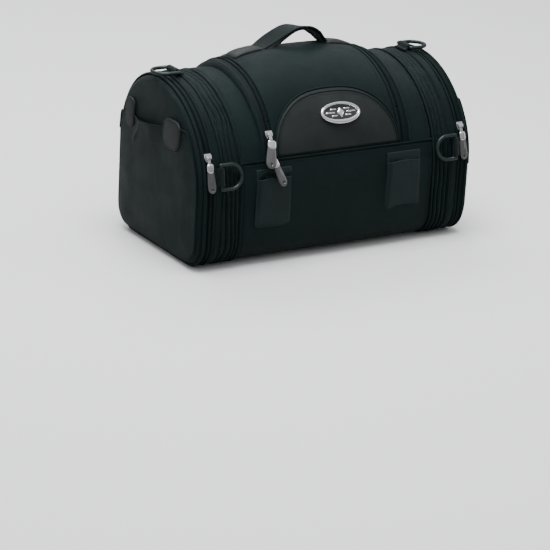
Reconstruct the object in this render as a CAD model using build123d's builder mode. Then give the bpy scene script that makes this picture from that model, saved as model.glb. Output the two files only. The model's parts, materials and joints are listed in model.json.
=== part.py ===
from build123d import *

import os
from math import cos, radians, sin, sqrt

# Soft motorcycle tail bag: a roll-shaped bag with a U-shaped zipped lid and two end compartments.
# Millimetres. X runs along the width, -Y is the face with the badge, +Z is up, and the origin is
# the centre of the base. Angles called "climb" are measured round the front-top arc, from the
# horizontal at the front (0) up to the top (90).

# Driving dimensions: cross-section
FRONT_Y = -113.0
BACK_Y = 113.0
TOP_Z = 230.0
TOP_Y = 20.0
TOP_FRONT_R = TOP_Y - FRONT_Y
TOP_BACK_R = BACK_Y - TOP_Y
TOP_FRONT_Z = TOP_Z - TOP_FRONT_R
TOP_BACK_Z = TOP_Z - TOP_BACK_R
LOW_FRONT_R = 38.0
LOW_BACK_R = 35.0
LOW_FRONT_Y = FRONT_Y + LOW_FRONT_R
LOW_BACK_Y = BACK_Y - LOW_BACK_R

# Driving dimensions: stations along X, measured from the middle
LID_EDGE = 97.0
ZIP_SLIDER_X = 104.0
ZIP_EDGE = 113.0
BODY_EDGE = 150.0
GUSSET_START = 152.8
GUSSET_EDGE = 177.6
BAND_START = 178.0
BAND_EDGE = 192.0
END_ZIP_X = 198.0
PANEL_START = 204.0
PANEL_EDGE = 213.0

# Fabric and webbing
WALL = 3.0
LINING = 1.0
TAPE_OUTER = 0.5
TAPE_INNER = 1.8
BOARD = 3.0
PIPING = 2.4
TRIM_LOW_Z = 4.0
GAP = 0.2

# Inside the main space
LINED_X = 138.0
BOARD_LENGTH = 270.0
BOARD_MARGIN = 3.0
BOARD_CORNER_R = 12.0
HOOP_START = 139.5
HOOP_EDGE = 145.5
HOOP_THICK = 4.0
DIVIDER_X = 148.0
DIVIDER_THICK = 2.5

# Lid
SEAM_Z = 139.0
HINGE_Z = 140.6
LID_TOP_Z = 242.0
LID_BACK_Z = 152.0
HINGE_BEAD_R = 1.4
BACK_ZIP_LOW = 137.2
BACK_ZIP_SPLIT = 144.0
BACK_ZIP_HIGH = 146.0
PARKING_TOP_Z = 180.0
LID_SIDE_WALL = 3.0
LID_SIDE_OVERHANG = 2.4
WELT = 2.0
TEETH_HALF = 0.8

# Lid patch and badge
PATCH_HALF = 94.0
PATCH_RISE = 74.0
PATCH_PROUD = 1.7
BADGE_X = 8.0
BADGE_CLIMB = 33.0
BADGE_STAND = 1.8
BADGE_HALF_WIDTH = 31.0
BADGE_HALF_HEIGHT = 16.0
BADGE_RIM = 4.0
BADGE_RIM_THICK = 2.2
BADGE_FACE_THICK = 1.2

# Handle
HANDLE_Y = 28.0
HANDLE_SPAN = 92.0
HANDLE_RISE = 40.0
HANDLE_FOOT = 9.0
HANDLE_PIVOT = 1.0
HANDLE_WIDTH = 25.0
HANDLE_THICK = 3.0
HANDLE_PEAK_X = 4.0
HANDLE_LEG_WIDTH = 4.0
HANDLE_BEAD_R = 0.9
HANDLE_BEAD_LENGTH = 6.0
HANDLE_PATCH_IN = 50.0
HANDLE_PATCH_OUT = 95.0
HANDLE_PATCH_WIDTH = 28.0
HANDLE_PATCH_PROUD = 2.4

# Strap sleeves on the front
SLEEVE_X = 102.0
SLEEVE_WIDTH = 56.0
SLEEVE_LOW = 50.0
SLEEVE_HIGH = 124.0
SLEEVE_THICK = 4.0
SLEEVE_SLOT = 42.0
SLEEVE_SLOT_THICK = 2.0
SLEEVE_CORNER_R = 1.8

# Zip sliders and pulls
SLIDER_LENGTH = 11.0
SLIDER_WIDTH = 10.0
PIN_R = 0.7
PIN_CLEARANCE = 0.05
PIN_HEIGHT = 2.9
LINK_LENGTH = 12.0
LINK_WIDTH = 4.8
PULL_LENGTH = 32.0
PULL_WIDTH = 8.5
SLIDER_A_CLIMB = 26.0
SLIDER_B_CLIMB = 15.5
END_SLIDER_CLIMB = 24.0

PULL_A_LEAN = 6.0
PULL_A_TILT = -16.0
PULL_B_LEAN = 13.0
PULL_B_TILT = 14.0
END_PULL_LEAN = -6.0

# D-rings
RING_WIRE_R = 2.5
RING_HALF = 16.0
RING_BAR_X = 184.0
RING_FRONT_CLIMB = 12.5
RING_TOP_CLIMB = 90.0
RING_HEIGHT = 5.6
TAB_WIDTH = 25.0

# End panel pocket
POCKET_MOUTH_Z = 175.0
POCKET_INSET = 14.0
POCKET_THICK = 1.8
PATCH_Z = 168.0
PATCH_FRONT_Y = -41.0
PATCH_BACK_Y = 72.0

# Rear backrest straps
REAR_STRAP_X = 70.0
STRAP_WIDTH = 25.0
STRAP_THICK = 2.0
STRAP_LENGTH = 100.0
STRAP_MIDDLE_Z = 75.0
BUCKLE_Z = 95.0
BUCKLE_WIDTH = 34.0
BUCKLE_HEIGHT = 24.0
BUCKLE_THICK = 3.0
BUCKLE_SLOT = 5.0

# Folded expansion wall and end band
RIBS = 4
RIB_WIDTH = 2.4
RIB_PITCH = 6.2
TONGUE_EDGE = 200.5

FAR = 400.0
SIDES = (("left", -1), ("right", 1))
ABOVE_SEAM = ((-FAR, TOP_Y, SEAM_Z + GAP, FAR), (TOP_Y, FAR, BACK_ZIP_LOW, FAR))

hinge_reach = sqrt(TOP_FRONT_R**2 - (HINGE_Z - TOP_FRONT_Z) ** 2)
HINGE_Y = TOP_Y - hinge_reach
lid_rise = LID_TOP_Z - HINGE_Z
LID_FRONT_R = (hinge_reach**2 + lid_rise**2) / (2 * lid_rise)
LID_FRONT_Z = LID_TOP_Z - LID_FRONT_R
LID_BACK_ARC_Z = LID_TOP_Z - TOP_BACK_R

os.makedirs("parts", exist_ok=True)


def export(piece, name):
    """Label a finished piece and write it as a STEP file of that name."""
    piece.part.label = name
    export_step(piece.part, f"parts/{name}.step")


def bag_section(x, inset):
    """Face of the bag's cross-section at station x, moved inward by inset."""
    with BuildSketch(Plane.YZ.offset(x)) as face:
        with BuildLine():
            Line((LOW_FRONT_Y, inset), (LOW_BACK_Y, inset))
            CenterArc((LOW_BACK_Y, LOW_BACK_R), LOW_BACK_R - inset, 270, 90)
            Line((BACK_Y - inset, LOW_BACK_R), (BACK_Y - inset, TOP_BACK_Z))
            CenterArc((TOP_Y, TOP_BACK_Z), TOP_BACK_R - inset, 0, 90)
            CenterArc((TOP_Y, TOP_FRONT_Z), TOP_FRONT_R - inset, 90, 90)
            Line((FRONT_Y + inset, TOP_FRONT_Z), (FRONT_Y + inset, LOW_FRONT_R))
            CenterArc((LOW_FRONT_Y, LOW_FRONT_R), LOW_FRONT_R - inset, 180, 90)
        make_face()
    return face.sketch


def lid_section(x, inset):
    """Face under the lid's raised outline at station x, moved inward by inset."""
    low = LOW_FRONT_R
    with BuildSketch(Plane.YZ.offset(x)) as face:
        with BuildLine():
            back = BACK_Y - inset
            front = TOP_Y - LID_FRONT_R + inset
            Line((front, low), (back, low))
            Line((back, low), (back, LID_BACK_ARC_Z))
            CenterArc((TOP_Y, LID_BACK_ARC_Z), TOP_BACK_R - inset, 0, 90)
            CenterArc((TOP_Y, LID_FRONT_Z), LID_FRONT_R - inset, 90, 90)
            Line((front, LID_FRONT_Z), (front, low))
        make_face()
    return face.sketch


def wall(x_span, insets, regions, section=bag_section):
    """Stretch of wall between two stations and two insets, kept only inside the y-z regions."""
    x_start, x_end = sorted(x_span)
    outer, inner = insets
    length = x_end - x_start
    with BuildPart() as piece:
        extrude(section(x_start, outer), amount=length)
        extrude(section(x_start, inner), amount=length, mode=Mode.SUBTRACT)
        with BuildSketch(Plane.YZ.offset(x_start)):
            for low_y, high_y, low_z, high_z in regions:
                with Locations(((low_y + high_y) / 2, (low_z + high_z) / 2)):
                    Rectangle(high_y - low_y, high_z - low_z)
        extrude(amount=length, mode=Mode.INTERSECT)
    return piece


def raised_wall(x_span, under, regions):
    """Upright strip between two stations, from under the bag's outline up to the lid's."""
    x_start, x_end = sorted(x_span)
    length = x_end - x_start
    with BuildPart() as piece:
        extrude(lid_section(x_start, 0), amount=length)
        extrude(bag_section(x_start, under), amount=length, mode=Mode.SUBTRACT)
        with BuildSketch(Plane.YZ.offset(x_start)):
            for low_y, high_y, low_z, high_z in regions:
                with Locations(((low_y + high_y) / 2, (low_z + high_z) / 2)):
                    Rectangle(high_y - low_y, high_z - low_z)
        extrude(amount=length, mode=Mode.INTERSECT)
    return piece


def everywhere(low_z=-FAR):
    """Region that keeps the whole outline above low_z."""
    return ((-FAR, FAR, low_z, FAR),)


def zip_plane(x, climb, radius=TOP_FRONT_R, centre_z=TOP_FRONT_Z):
    """Plane tangent to a front-top arc: local x along +X, y up the arc, z outward."""
    y = TOP_Y - radius * cos(radians(climb))
    z = centre_z + radius * sin(radians(climb))
    outward = (0, -cos(radians(climb)), sin(radians(climb)))
    return Plane(origin=(x, y, z), x_dir=(1, 0, 0), z_dir=outward)


# ---------------------------------------------------------------- main bag: the sewn shell
def make_shell():
    body = (-BODY_EDGE, BODY_EDGE)
    front = wall(body, (0, WALL), ((-FAR, LOW_FRONT_Y, -1, SEAM_Z),))
    export(front, "front_panel")
    export(wall(body, (0, WALL), ((LOW_FRONT_Y, LOW_BACK_Y, -1, 2 * WALL),)), "base_panel")
    export(wall(body, (0, WALL), ((LOW_BACK_Y, FAR, -1, TOP_BACK_Z),)), "back_panel")
    over_the_top = ((-FAR, TOP_Y, SEAM_Z, FAR), (TOP_Y, FAR, TOP_BACK_Z, FAR))
    for side, sign in SIDES:
        with BuildPart() as band:
            add(wall((sign * ZIP_EDGE, sign * BODY_EDGE), (0, WALL), over_the_top).part)
            welt = (sign * ZIP_EDGE, sign * (ZIP_EDGE + WELT))
            add(raised_wall(welt, WALL, over_the_top).part)
        export(band, f"top_band_{side}")
    with BuildPart() as piping:
        for _, sign in SIDES:
            span = (sign * (BODY_EDGE + GAP), sign * (BODY_EDGE + PIPING))
            around = everywhere(TRIM_LOW_Z)
            add(wall(span, (-PIPING / 2, PIPING / 2), around).part)
    export(piping, "body_piping")


def make_inside():
    """Lining trough, stiffening board, hoops and the two walls that close the main space."""
    start = WALL + GAP
    trough = ((-FAR, TOP_Y, -1, SEAM_Z), (TOP_Y, FAR, -1, TOP_BACK_Z))
    export(wall((-LINED_X, LINED_X), (start, start + LINING), trough), "main_lining")
    board_width = LOW_BACK_Y - LOW_FRONT_Y - 2 * BOARD_MARGIN
    with BuildPart() as base_board:
        with BuildSketch(Plane.XY.offset(start + LINING + GAP)):
            with Locations((0, (LOW_FRONT_Y + LOW_BACK_Y) / 2)):
                RectangleRounded(BOARD_LENGTH, board_width, BOARD_CORNER_R)
        extrude(amount=BOARD)
    export(base_board, "base_board")
    with BuildPart() as hoops:
        for _, sign in SIDES:
            span = (sign * HOOP_START, sign * HOOP_EDGE)
            add(wall(span, (start, start + HOOP_THICK), everywhere()).part)
    export(hoops, "stiffening_hoops")
    with BuildPart() as dividers:
        for _, sign in SIDES:
            extrude(
                bag_section(sign * DIVIDER_X - DIVIDER_THICK / 2, start),
                amount=DIVIDER_THICK,
            )
    export(dividers, "dividers")


def make_body_zip():
    """Body half of the U-shaped zip tape, with both halves joined where the sliders park."""
    with BuildPart() as body_zip:
        span = (-ZIP_EDGE + GAP, ZIP_EDGE - GAP)
        add(wall(span, (TAPE_OUTER, TAPE_INNER), ABOVE_SEAM, lid_section).part)
        inner = ZIP_SLIDER_X + TEETH_HALF
        with BuildSketch(Plane.XY.offset(BACK_ZIP_SPLIT)):
            Rectangle(2 * inner, FAR)
        extrude(amount=FAR, mode=Mode.SUBTRACT)
        with BuildSketch(Plane.XY.offset(SEAM_Z)):
            with Locations((0, -FAR / 2)):
                Rectangle(2 * inner, FAR)
        extrude(amount=BACK_ZIP_SPLIT - SEAM_Z, mode=Mode.SUBTRACT)
    parked = ((-FAR, TOP_Y, SEAM_Z + GAP, PARKING_TOP_Z),)
    span = (LID_EDGE + TAPE_OUTER, ZIP_SLIDER_X - TEETH_HALF)
    parts = [body_zip.part]
    for _, sign in SIDES:
        ends = [sign * x for x in span]
        parts.append(wall(ends, (TAPE_OUTER, TAPE_INNER), parked, lid_section).part)
    with BuildPart() as tape:
        for part in parts:
            add(part)
    export(tape, "body_zip_tape")


# ---------------------------------------------------------------- lid
def make_lid():
    opened = ((-FAR, TOP_Y, HINGE_Z, FAR), (TOP_Y, FAR, LID_BACK_Z, FAR))
    side_walls = (-LID_EDGE, LID_EDGE - LID_SIDE_WALL)
    with BuildPart() as lid:
        add(wall((-LID_EDGE, LID_EDGE), (0, WALL), opened, lid_section).part)
        for x in side_walls:
            extrude(lid_section(x, 0), amount=LID_SIDE_WALL)
        for x in side_walls:
            under = bag_section(x, LID_SIDE_OVERHANG)
            extrude(under, amount=LID_SIDE_WALL, mode=Mode.SUBTRACT)
        with BuildSketch(Plane.YZ.offset(-LID_EDGE)):
            for low_y, high_y, low_z, high_z in opened:
                with Locations(((low_y + high_y) / 2, (low_z + high_z) / 2)):
                    Rectangle(high_y - low_y, high_z - low_z)
        extrude(amount=2 * LID_EDGE, mode=Mode.INTERSECT)
        with BuildSketch(Plane.YZ.offset(-LID_EDGE)):
            with Locations((HINGE_Y, HINGE_Z)):
                Circle(HINGE_BEAD_R)
        extrude(amount=2 * LID_EDGE)
    export(lid, "lid_panel")

    inner = ((-FAR, TOP_Y, HINGE_Z + 6, FAR), (TOP_Y, FAR, LID_BACK_Z + 2, FAR))
    lined = LID_EDGE - LID_SIDE_WALL - LINING
    start = WALL + GAP
    export(wall((-lined, lined), (start, start + LINING), inner, lid_section), "lid_lining")

    with BuildPart() as lid_zip:
        half = ZIP_SLIDER_X - TEETH_HALF
        front = (-FAR, TOP_Y, PARKING_TOP_Z + 2, FAR)
        back = (TOP_Y, FAR, BACK_ZIP_HIGH, FAR)
        add(wall((-half, half), (TAPE_OUTER, TAPE_INNER), (front, back), lid_section).part)
        with BuildSketch(Plane.XY.offset(LID_BACK_Z - GAP)):
            Rectangle(2 * LID_EDGE + 2 * GAP, FAR)
        extrude(amount=FAR, mode=Mode.SUBTRACT)
    export(lid_zip, "lid_zip_tape")


def make_lid_trim():
    """Half-oval patch on the lid's front, oval badge, and the pads that hold the handle."""
    clear = GAP / 2
    above_hinge = everywhere(HINGE_Z + 2)
    over = wall((-LID_EDGE, LID_EDGE), (-PATCH_PROUD, -clear), above_hinge, lid_section)
    with BuildPart() as patch:
        add(over.part)
        with BuildSketch(Plane.XZ.offset(TOP_Y)):
            with Locations((0, HINGE_Z)):
                Ellipse(PATCH_HALF, PATCH_RISE)
        extrude(amount=-2 * TOP_Y + FAR, mode=Mode.INTERSECT)
        with BuildSketch(Plane.XY):
            with Locations((0, TOP_Y - FAR / 2)):
                Rectangle(FAR, FAR)
        extrude(amount=FAR, mode=Mode.INTERSECT)
    export(patch, "lid_patch")

    with BuildPart() as pads:
        for _, sign in SIDES:
            span = (sign * HANDLE_PATCH_IN, sign * HANDLE_PATCH_OUT)
            low_y = HANDLE_Y - HANDLE_PATCH_WIDTH / 2
            high_y = HANDLE_Y + HANDLE_PATCH_WIDTH / 2
            strip = ((low_y, high_y, LID_TOP_Z - 30, FAR),)
            add(wall(span, (-HANDLE_PATCH_PROUD, -clear), strip, lid_section).part)
    export(pads, "handle_pads")

    badge_plane = zip_plane(BADGE_X, BADGE_CLIMB, LID_FRONT_R + BADGE_STAND, LID_FRONT_Z)
    inner_width = BADGE_HALF_WIDTH - BADGE_RIM
    inner_height = BADGE_HALF_HEIGHT - BADGE_RIM
    with BuildPart() as rim:
        with BuildSketch(badge_plane):
            Ellipse(BADGE_HALF_WIDTH, BADGE_HALF_HEIGHT)
            Ellipse(inner_width, inner_height, mode=Mode.SUBTRACT)
        extrude(amount=BADGE_RIM_THICK)
    export(rim, "badge_rim")
    with BuildPart() as face:
        with BuildSketch(badge_plane):
            Ellipse(inner_width - GAP, inner_height - GAP)
        extrude(amount=BADGE_FACE_THICK)
    export(face, "badge_face")


def make_handle():
    """Webbing loop: a thin arch across the lid, hinged about the line through its two ends."""
    foot = LID_TOP_Z + HANDLE_FOOT
    peak = LID_TOP_Z + HANDLE_RISE
    half = HANDLE_SPAN / 2
    with BuildPart() as handle:
        with BuildSketch(Plane.XZ.offset(-HANDLE_Y - HANDLE_WIDTH / 2)):
            with BuildLine():
                ThreePointArc((-half, foot), (HANDLE_PEAK_X, peak), (half, foot))
                Line((half, foot), (half - HANDLE_THICK, foot))
                ThreePointArc(
                    (half - HANDLE_THICK, foot),
                    (HANDLE_PEAK_X, peak - HANDLE_THICK),
                    (-half + HANDLE_THICK, foot),
                )
                Line((-half + HANDLE_THICK, foot), (-half, foot))
            make_face()
        extrude(amount=HANDLE_WIDTH)
        pivot_z = LID_TOP_Z + HANDLE_PIVOT
        leg = foot - pivot_z
        for sign in (-1, 1):
            with BuildSketch(Plane.XY.offset(foot)):
                with Locations((sign * (half - HANDLE_THICK / 2), HANDLE_Y)):
                    Rectangle(HANDLE_THICK, HANDLE_LEG_WIDTH)
            extrude(amount=-leg)
        for start in (-half, half - HANDLE_BEAD_LENGTH):
            with BuildSketch(Plane.YZ.offset(start)):
                with Locations((HANDLE_Y, pivot_z)):
                    Circle(HANDLE_BEAD_R)
            extrude(amount=HANDLE_BEAD_LENGTH)
    export(handle, "handle_strap")


# ---------------------------------------------------------------- sleeves and straps
def make_sleeves():
    """Flat sleeves on the front, open at both ends, that a strap is threaded through."""
    middle_y = FRONT_Y - GAP - SLEEVE_THICK / 2
    with BuildPart() as sleeves:
        with BuildSketch(Plane.XY.offset(SLEEVE_LOW)):
            with Locations((-SLEEVE_X, middle_y), (SLEEVE_X, middle_y)):
                RectangleRounded(SLEEVE_WIDTH, SLEEVE_THICK, SLEEVE_CORNER_R)
                Rectangle(SLEEVE_SLOT, SLEEVE_SLOT_THICK, mode=Mode.SUBTRACT)
        extrude(amount=SLEEVE_HIGH - SLEEVE_LOW)
    export(sleeves, "strap_sleeves")


def make_rear_straps():
    """Straps down the back that hold the bag to a backrest, with their slide buckles."""
    strap_y = BACK_Y + GAP
    with BuildPart() as straps:
        with BuildSketch(Plane.XZ.offset(-strap_y)):
            with Locations(*[(sign * REAR_STRAP_X, STRAP_MIDDLE_Z) for _, sign in SIDES]):
                Rectangle(STRAP_WIDTH, STRAP_LENGTH)
        extrude(amount=-STRAP_THICK)
    export(straps, "rear_straps")
    with BuildPart() as buckles:
        with BuildSketch(Plane.XZ.offset(-strap_y - STRAP_THICK - GAP)):
            for _, sign in SIDES:
                with Locations((sign * REAR_STRAP_X, BUCKLE_Z)):
                    RectangleRounded(BUCKLE_WIDTH, BUCKLE_HEIGHT, 4)
                for drop in (-BUCKLE_SLOT, BUCKLE_SLOT):
                    with Locations((sign * REAR_STRAP_X, BUCKLE_Z + drop)):
                        Rectangle(STRAP_WIDTH + 1, BUCKLE_SLOT, mode=Mode.SUBTRACT)
        extrude(amount=-BUCKLE_THICK)
    export(buckles, "rear_buckles")


# ---------------------------------------------------------------- ends
def make_gusset(side, sign):
    """Folded expansion wall: an outer ribbed ring, a loose middle pleat and an inner pleat."""
    outer, middle, inner = (0.5, 2.5), (2.9, 4.1), (4.6, 5.8)
    with BuildPart() as gusset:
        add(wall((sign * GUSSET_START, sign * GUSSET_EDGE), outer, everywhere()).part)
        for rib in range(RIBS):
            start = GUSSET_START + rib * RIB_PITCH
            span = (sign * start, sign * (start + RIB_WIDTH))
            add(wall(span, (-0.8, 1.0), everywhere(TRIM_LOW_Z)).part)
    export(gusset, f"gusset_{side}")
    span = (sign * (GUSSET_START + 0.7), sign * GUSSET_EDGE)
    export(wall(span, middle, everywhere()), f"middle_pleat_{side}")
    span = (sign * (GUSSET_START + 1.2), sign * (BAND_START + 1.5))
    export(wall(span, inner, everywhere()), f"inner_pleat_{side}")


def make_end_band(side, sign):
    """Band with the D-ring tabs, its floor tongue that carries the end panel, and its zip tape."""
    with BuildPart() as band:
        add(wall((sign * BAND_START, sign * BAND_EDGE), (0, WALL), everywhere()).part)
        tongue = ((LOW_FRONT_Y, LOW_BACK_Y, -1, WALL),)
        add(wall((sign * BAND_EDGE, sign * TONGUE_EDGE), (0.3, 2.0), tongue).part)
    export(band, f"end_band_{side}")
    span = (sign * (BAND_EDGE + GAP), sign * (END_ZIP_X - 0.7))
    export(wall(span, (TAPE_OUTER, TAPE_INNER), everywhere(6)), f"end_zip_tape_{side}")


def make_end_panel(side, sign):
    """Zipped end: padded panel with a hinge bead on its floor edge, piping, tape, slip pocket."""
    inset = 1.6
    bead_r = 1.3
    with BuildPart() as panel:
        start = min(sign * PANEL_START, sign * PANEL_EDGE)
        extrude(bag_section(start, inset), amount=PANEL_EDGE - PANEL_START)
        outer_face = panel.faces().filter_by(Axis.X).sort_by(Axis.X)[-1 if sign > 0 else 0]
        fillet(outer_face.edges(), 5.5)
        with BuildSketch(Plane.XZ.offset(-LOW_BACK_Y + 2)):
            with Locations((sign * PANEL_START, inset)):
                Circle(bead_r)
        extrude(amount=LOW_BACK_Y - LOW_FRONT_Y - 4)
    export(panel, f"end_panel_{side}")

    piping = (sign * (PANEL_START + 0.1), sign * (PANEL_START + PIPING))
    export(wall(piping, (-1.0, inset - 0.1), everywhere(5)), f"end_piping_{side}")
    below_slider = TOP_FRONT_Z + TOP_FRONT_R * sin(radians(END_SLIDER_CLIMB - 6))
    above_slider = TOP_FRONT_Z + TOP_FRONT_R * sin(radians(END_SLIDER_CLIMB + 6))
    around = (
        (-FAR, TOP_Y, 6, below_slider),
        (-FAR, TOP_Y, above_slider, FAR),
        (TOP_Y, FAR, 6, FAR),
    )
    span = (sign * (END_ZIP_X + 0.7), sign * (PANEL_START - GAP))
    export(wall(span, (TAPE_OUTER, TAPE_INNER), around), f"panel_zip_tape_{side}")

    with BuildPart() as pocket:
        start = sign * (PANEL_EDGE + 0.1)
        extrude(bag_section(start, POCKET_INSET), amount=sign * POCKET_THICK)
        with BuildSketch(Plane.XY.offset(POCKET_MOUTH_Z)):
            Rectangle(4 * PANEL_EDGE, FAR)
        extrude(amount=FAR, mode=Mode.SUBTRACT)
    export(pocket, f"end_pocket_{side}")
    with BuildPart() as patches:
        start = sign * (PANEL_EDGE + POCKET_THICK + 0.2)
        with BuildSketch(Plane.YZ.offset(start)):
            with Locations((PATCH_FRONT_Y, PATCH_Z)):
                RectangleRounded(44, 40, 12)
            with Locations((PATCH_BACK_Y, PATCH_Z)):
                RectangleRounded(36, 40, 12)
        extrude(amount=sign * 1.4)
    export(patches, f"pocket_patches_{side}")


# ---------------------------------------------------------------- zip sliders and pulls
def make_slider(name, base):
    """Slider straddling the tape: two shield plates, a web between them, ears and a bridge pin."""
    half = SLIDER_WIDTH / 2
    tail = 3.2
    length = SLIDER_LENGTH / 2
    top = 1.1
    with BuildPart() as slider:
        for height, thick in ((-0.2, top + 0.2), (-3.7, 1.5)):
            with BuildSketch(base.offset(height)):
                with BuildLine():
                    Polyline(
                        (-half, length), (half, length), (half, 0), (tail, -length),
                        (-tail, -length), (-half, 0), close=True,
                    )
                make_face()
            extrude(amount=thick)
        with BuildSketch(base.offset(-3.7)):
            with Locations((0, length - 2)):
                Rectangle(0.8, 4)
        extrude(amount=3.7)
        with BuildSketch(base.offset(top)):
            with Locations((-3.3, 0), (3.3, 0)):
                Rectangle(1.0, 5.0)
        extrude(amount=PIN_HEIGHT + 1.0 - top)
        pin_plane = Plane(origin=base.from_local_coords((-3.8, 0, PIN_HEIGHT)), z_dir=(1, 0, 0))
        with BuildSketch(pin_plane):
            Circle(PIN_R)
        extrude(amount=7.6)
    export(slider, name)


def pull_plane(base, lean):
    """Plane on a slider's bridge pin, turned outward about the pin by lean degrees."""
    pin = base.from_local_coords((0, 0, PIN_HEIGHT))
    outward = base.z_dir * cos(radians(lean)) + base.y_dir * sin(radians(lean))
    return Plane(origin=pin, x_dir=(1, 0, 0), z_dir=outward)


def make_pull(kind, base, lean, tilt):
    """Chrome link that swings on the slider's pin, and the moulded pull on the link's stud."""
    plane = pull_plane(base, lean)
    eye_r = 1.6
    stud_r = 1.3
    with BuildPart() as link:
        with BuildSketch(Plane(origin=plane.from_local_coords((-2.4, 0, 0)), z_dir=(1, 0, 0))):
            Circle(eye_r)
        extrude(amount=LINK_WIDTH)
        with BuildSketch(plane.offset(-0.6)):
            with Locations((0, -(LINK_LENGTH - 1) / 2 - 1.2)):
                Rectangle(LINK_WIDTH, LINK_LENGTH - 1)
        extrude(amount=1.2)
        with BuildSketch(plane.offset(0.5)):
            with Locations((0, -LINK_LENGTH + 2)):
                Circle(stud_r)
        extrude(amount=2.3)
        with BuildSketch(Plane(origin=plane.from_local_coords((-3, 0, 0)), z_dir=(1, 0, 0))):
            Circle(PIN_R + PIN_CLEARANCE)
        extrude(amount=6, mode=Mode.SUBTRACT)
    export(link, f"{kind}_link")

    stud = plane.from_local_coords((0, -LINK_LENGTH + 2, 0))
    across = plane.x_dir * cos(radians(tilt)) + plane.y_dir * sin(radians(tilt))
    turned = Plane(origin=stud, x_dir=across, z_dir=plane.z_dir)
    neck = 3.0
    body_start = -4.6
    with BuildPart() as pull:
        with BuildSketch(turned.offset(0.8)):
            Circle(neck)
            with Locations((0, body_start / 2)):
                Rectangle(2 * neck, -body_start)
        extrude(amount=1.6)
        with BuildSketch(turned.offset(-1.1)):
            with Locations((0, body_start - PULL_LENGTH / 2)):
                RectangleRounded(PULL_WIDTH, PULL_LENGTH, 3.6)
        extrude(amount=3.5)
        with BuildSketch(turned.offset(-2)):
            Circle(stud_r + PIN_CLEARANCE)
            with Locations((0, body_start - PULL_LENGTH + 5)):
                Circle(1.9)
        extrude(amount=6, mode=Mode.SUBTRACT)
    export(pull, f"{kind}_pull")


def make_zip_hardware():
    for letter, climb, lean, tilt in (
        ("a", SLIDER_A_CLIMB, PULL_A_LEAN, PULL_A_TILT),
        ("b", SLIDER_B_CLIMB, PULL_B_LEAN, PULL_B_TILT),
    ):
        base = zip_plane(-ZIP_SLIDER_X, climb, LID_FRONT_R, LID_FRONT_Z)
        make_slider(f"main_slider_{letter}", base)
        make_pull(f"main_{letter}", base, lean, tilt)
    for side, sign in SIDES:
        base = zip_plane(sign * END_ZIP_X, END_SLIDER_CLIMB)
        make_slider(f"end_slider_{side}", base)
        make_pull(f"end_{side}", base, END_PULL_LEAN, 0)


# ---------------------------------------------------------------- D-rings
def ring_and_tab(x, climb):
    """D-ring pointing to +X with its bar at x, and the webbing tab looped round the bar."""
    base = zip_plane(x, climb)
    bar = base.offset(RING_HEIGHT)
    straight = 14.0
    with BuildPart() as ring:
        with BuildSketch(Plane(origin=bar.from_local_coords((0, -RING_HALF, 0)), z_dir=bar.y_dir)):
            Circle(RING_WIRE_R)
        extrude(amount=2 * RING_HALF)
        with BuildLine(bar) as bow:
            Line((0, -RING_HALF), (straight, -RING_HALF))
            ThreePointArc(
                (straight, -RING_HALF), (straight + RING_HALF, 0), (straight, RING_HALF)
            )
            Line((straight, RING_HALF), (0, RING_HALF))
        with BuildSketch(bow.line ^ 0):
            Circle(RING_WIRE_R)
        sweep(path=bow.line)
        with Locations(*[bar.from_local_coords((0, y, 0)) for y in (-RING_HALF, RING_HALF)]):
            Sphere(RING_WIRE_R)

    end = Plane(
        origin=base.from_local_coords((0, -TAB_WIDTH / 2, 0)),
        x_dir=base.x_dir,
        z_dir=base.y_dir,
    )
    loop_r = 4.4
    with BuildPart() as tab:
        with BuildSketch(end):
            with Locations((0, -RING_HEIGHT)):
                Circle(loop_r)
            with Locations((-1.0, -1.0)):
                Rectangle(13, 1.6)
            with Locations((0, -2.4)):
                Rectangle(4, 3.2)
            with Locations((0, -RING_HEIGHT)):
                Circle(RING_WIRE_R + PIN_CLEARANCE, mode=Mode.SUBTRACT)
        extrude(amount=TAB_WIDTH)
    return ring, tab


def make_rings():
    """Front rings point inward and top rings outward; each pair is one shape and its mirror."""
    front = ring_and_tab(-RING_BAR_X, RING_FRONT_CLIMB)
    top = ring_and_tab(RING_BAR_X, RING_TOP_CLIMB)
    tabs = {"left": [], "right": []}
    for place, first, second, (ring, tab) in (
        ("front", "left", "right", front),
        ("top", "right", "left", top),
    ):
        export(ring, f"dring_{place}_{first}")
        with BuildPart() as mirrored:
            add(mirror(ring.part, about=Plane.YZ, mode=Mode.PRIVATE))
        export(mirrored, f"dring_{place}_{second}")
        tabs[first].append(tab.part)
        tabs[second].append(mirror(tab.part, about=Plane.YZ))
    for side, loops in tabs.items():
        with BuildPart() as pair:
            for loop in loops:
                add(loop)
        export(pair, f"dring_tabs_{side}")


make_shell()
make_inside()
make_body_zip()
make_lid()
make_lid_trim()
make_handle()
make_sleeves()
make_rear_straps()
for end_side, end_sign in SIDES:
    make_gusset(end_side, end_sign)
    make_end_band(end_side, end_sign)
    make_end_panel(end_side, end_sign)
make_zip_hardware()
make_rings()
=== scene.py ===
import json
import math

import bmesh
import bpy
import numpy as np
from mathutils import Matrix, Vector


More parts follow.
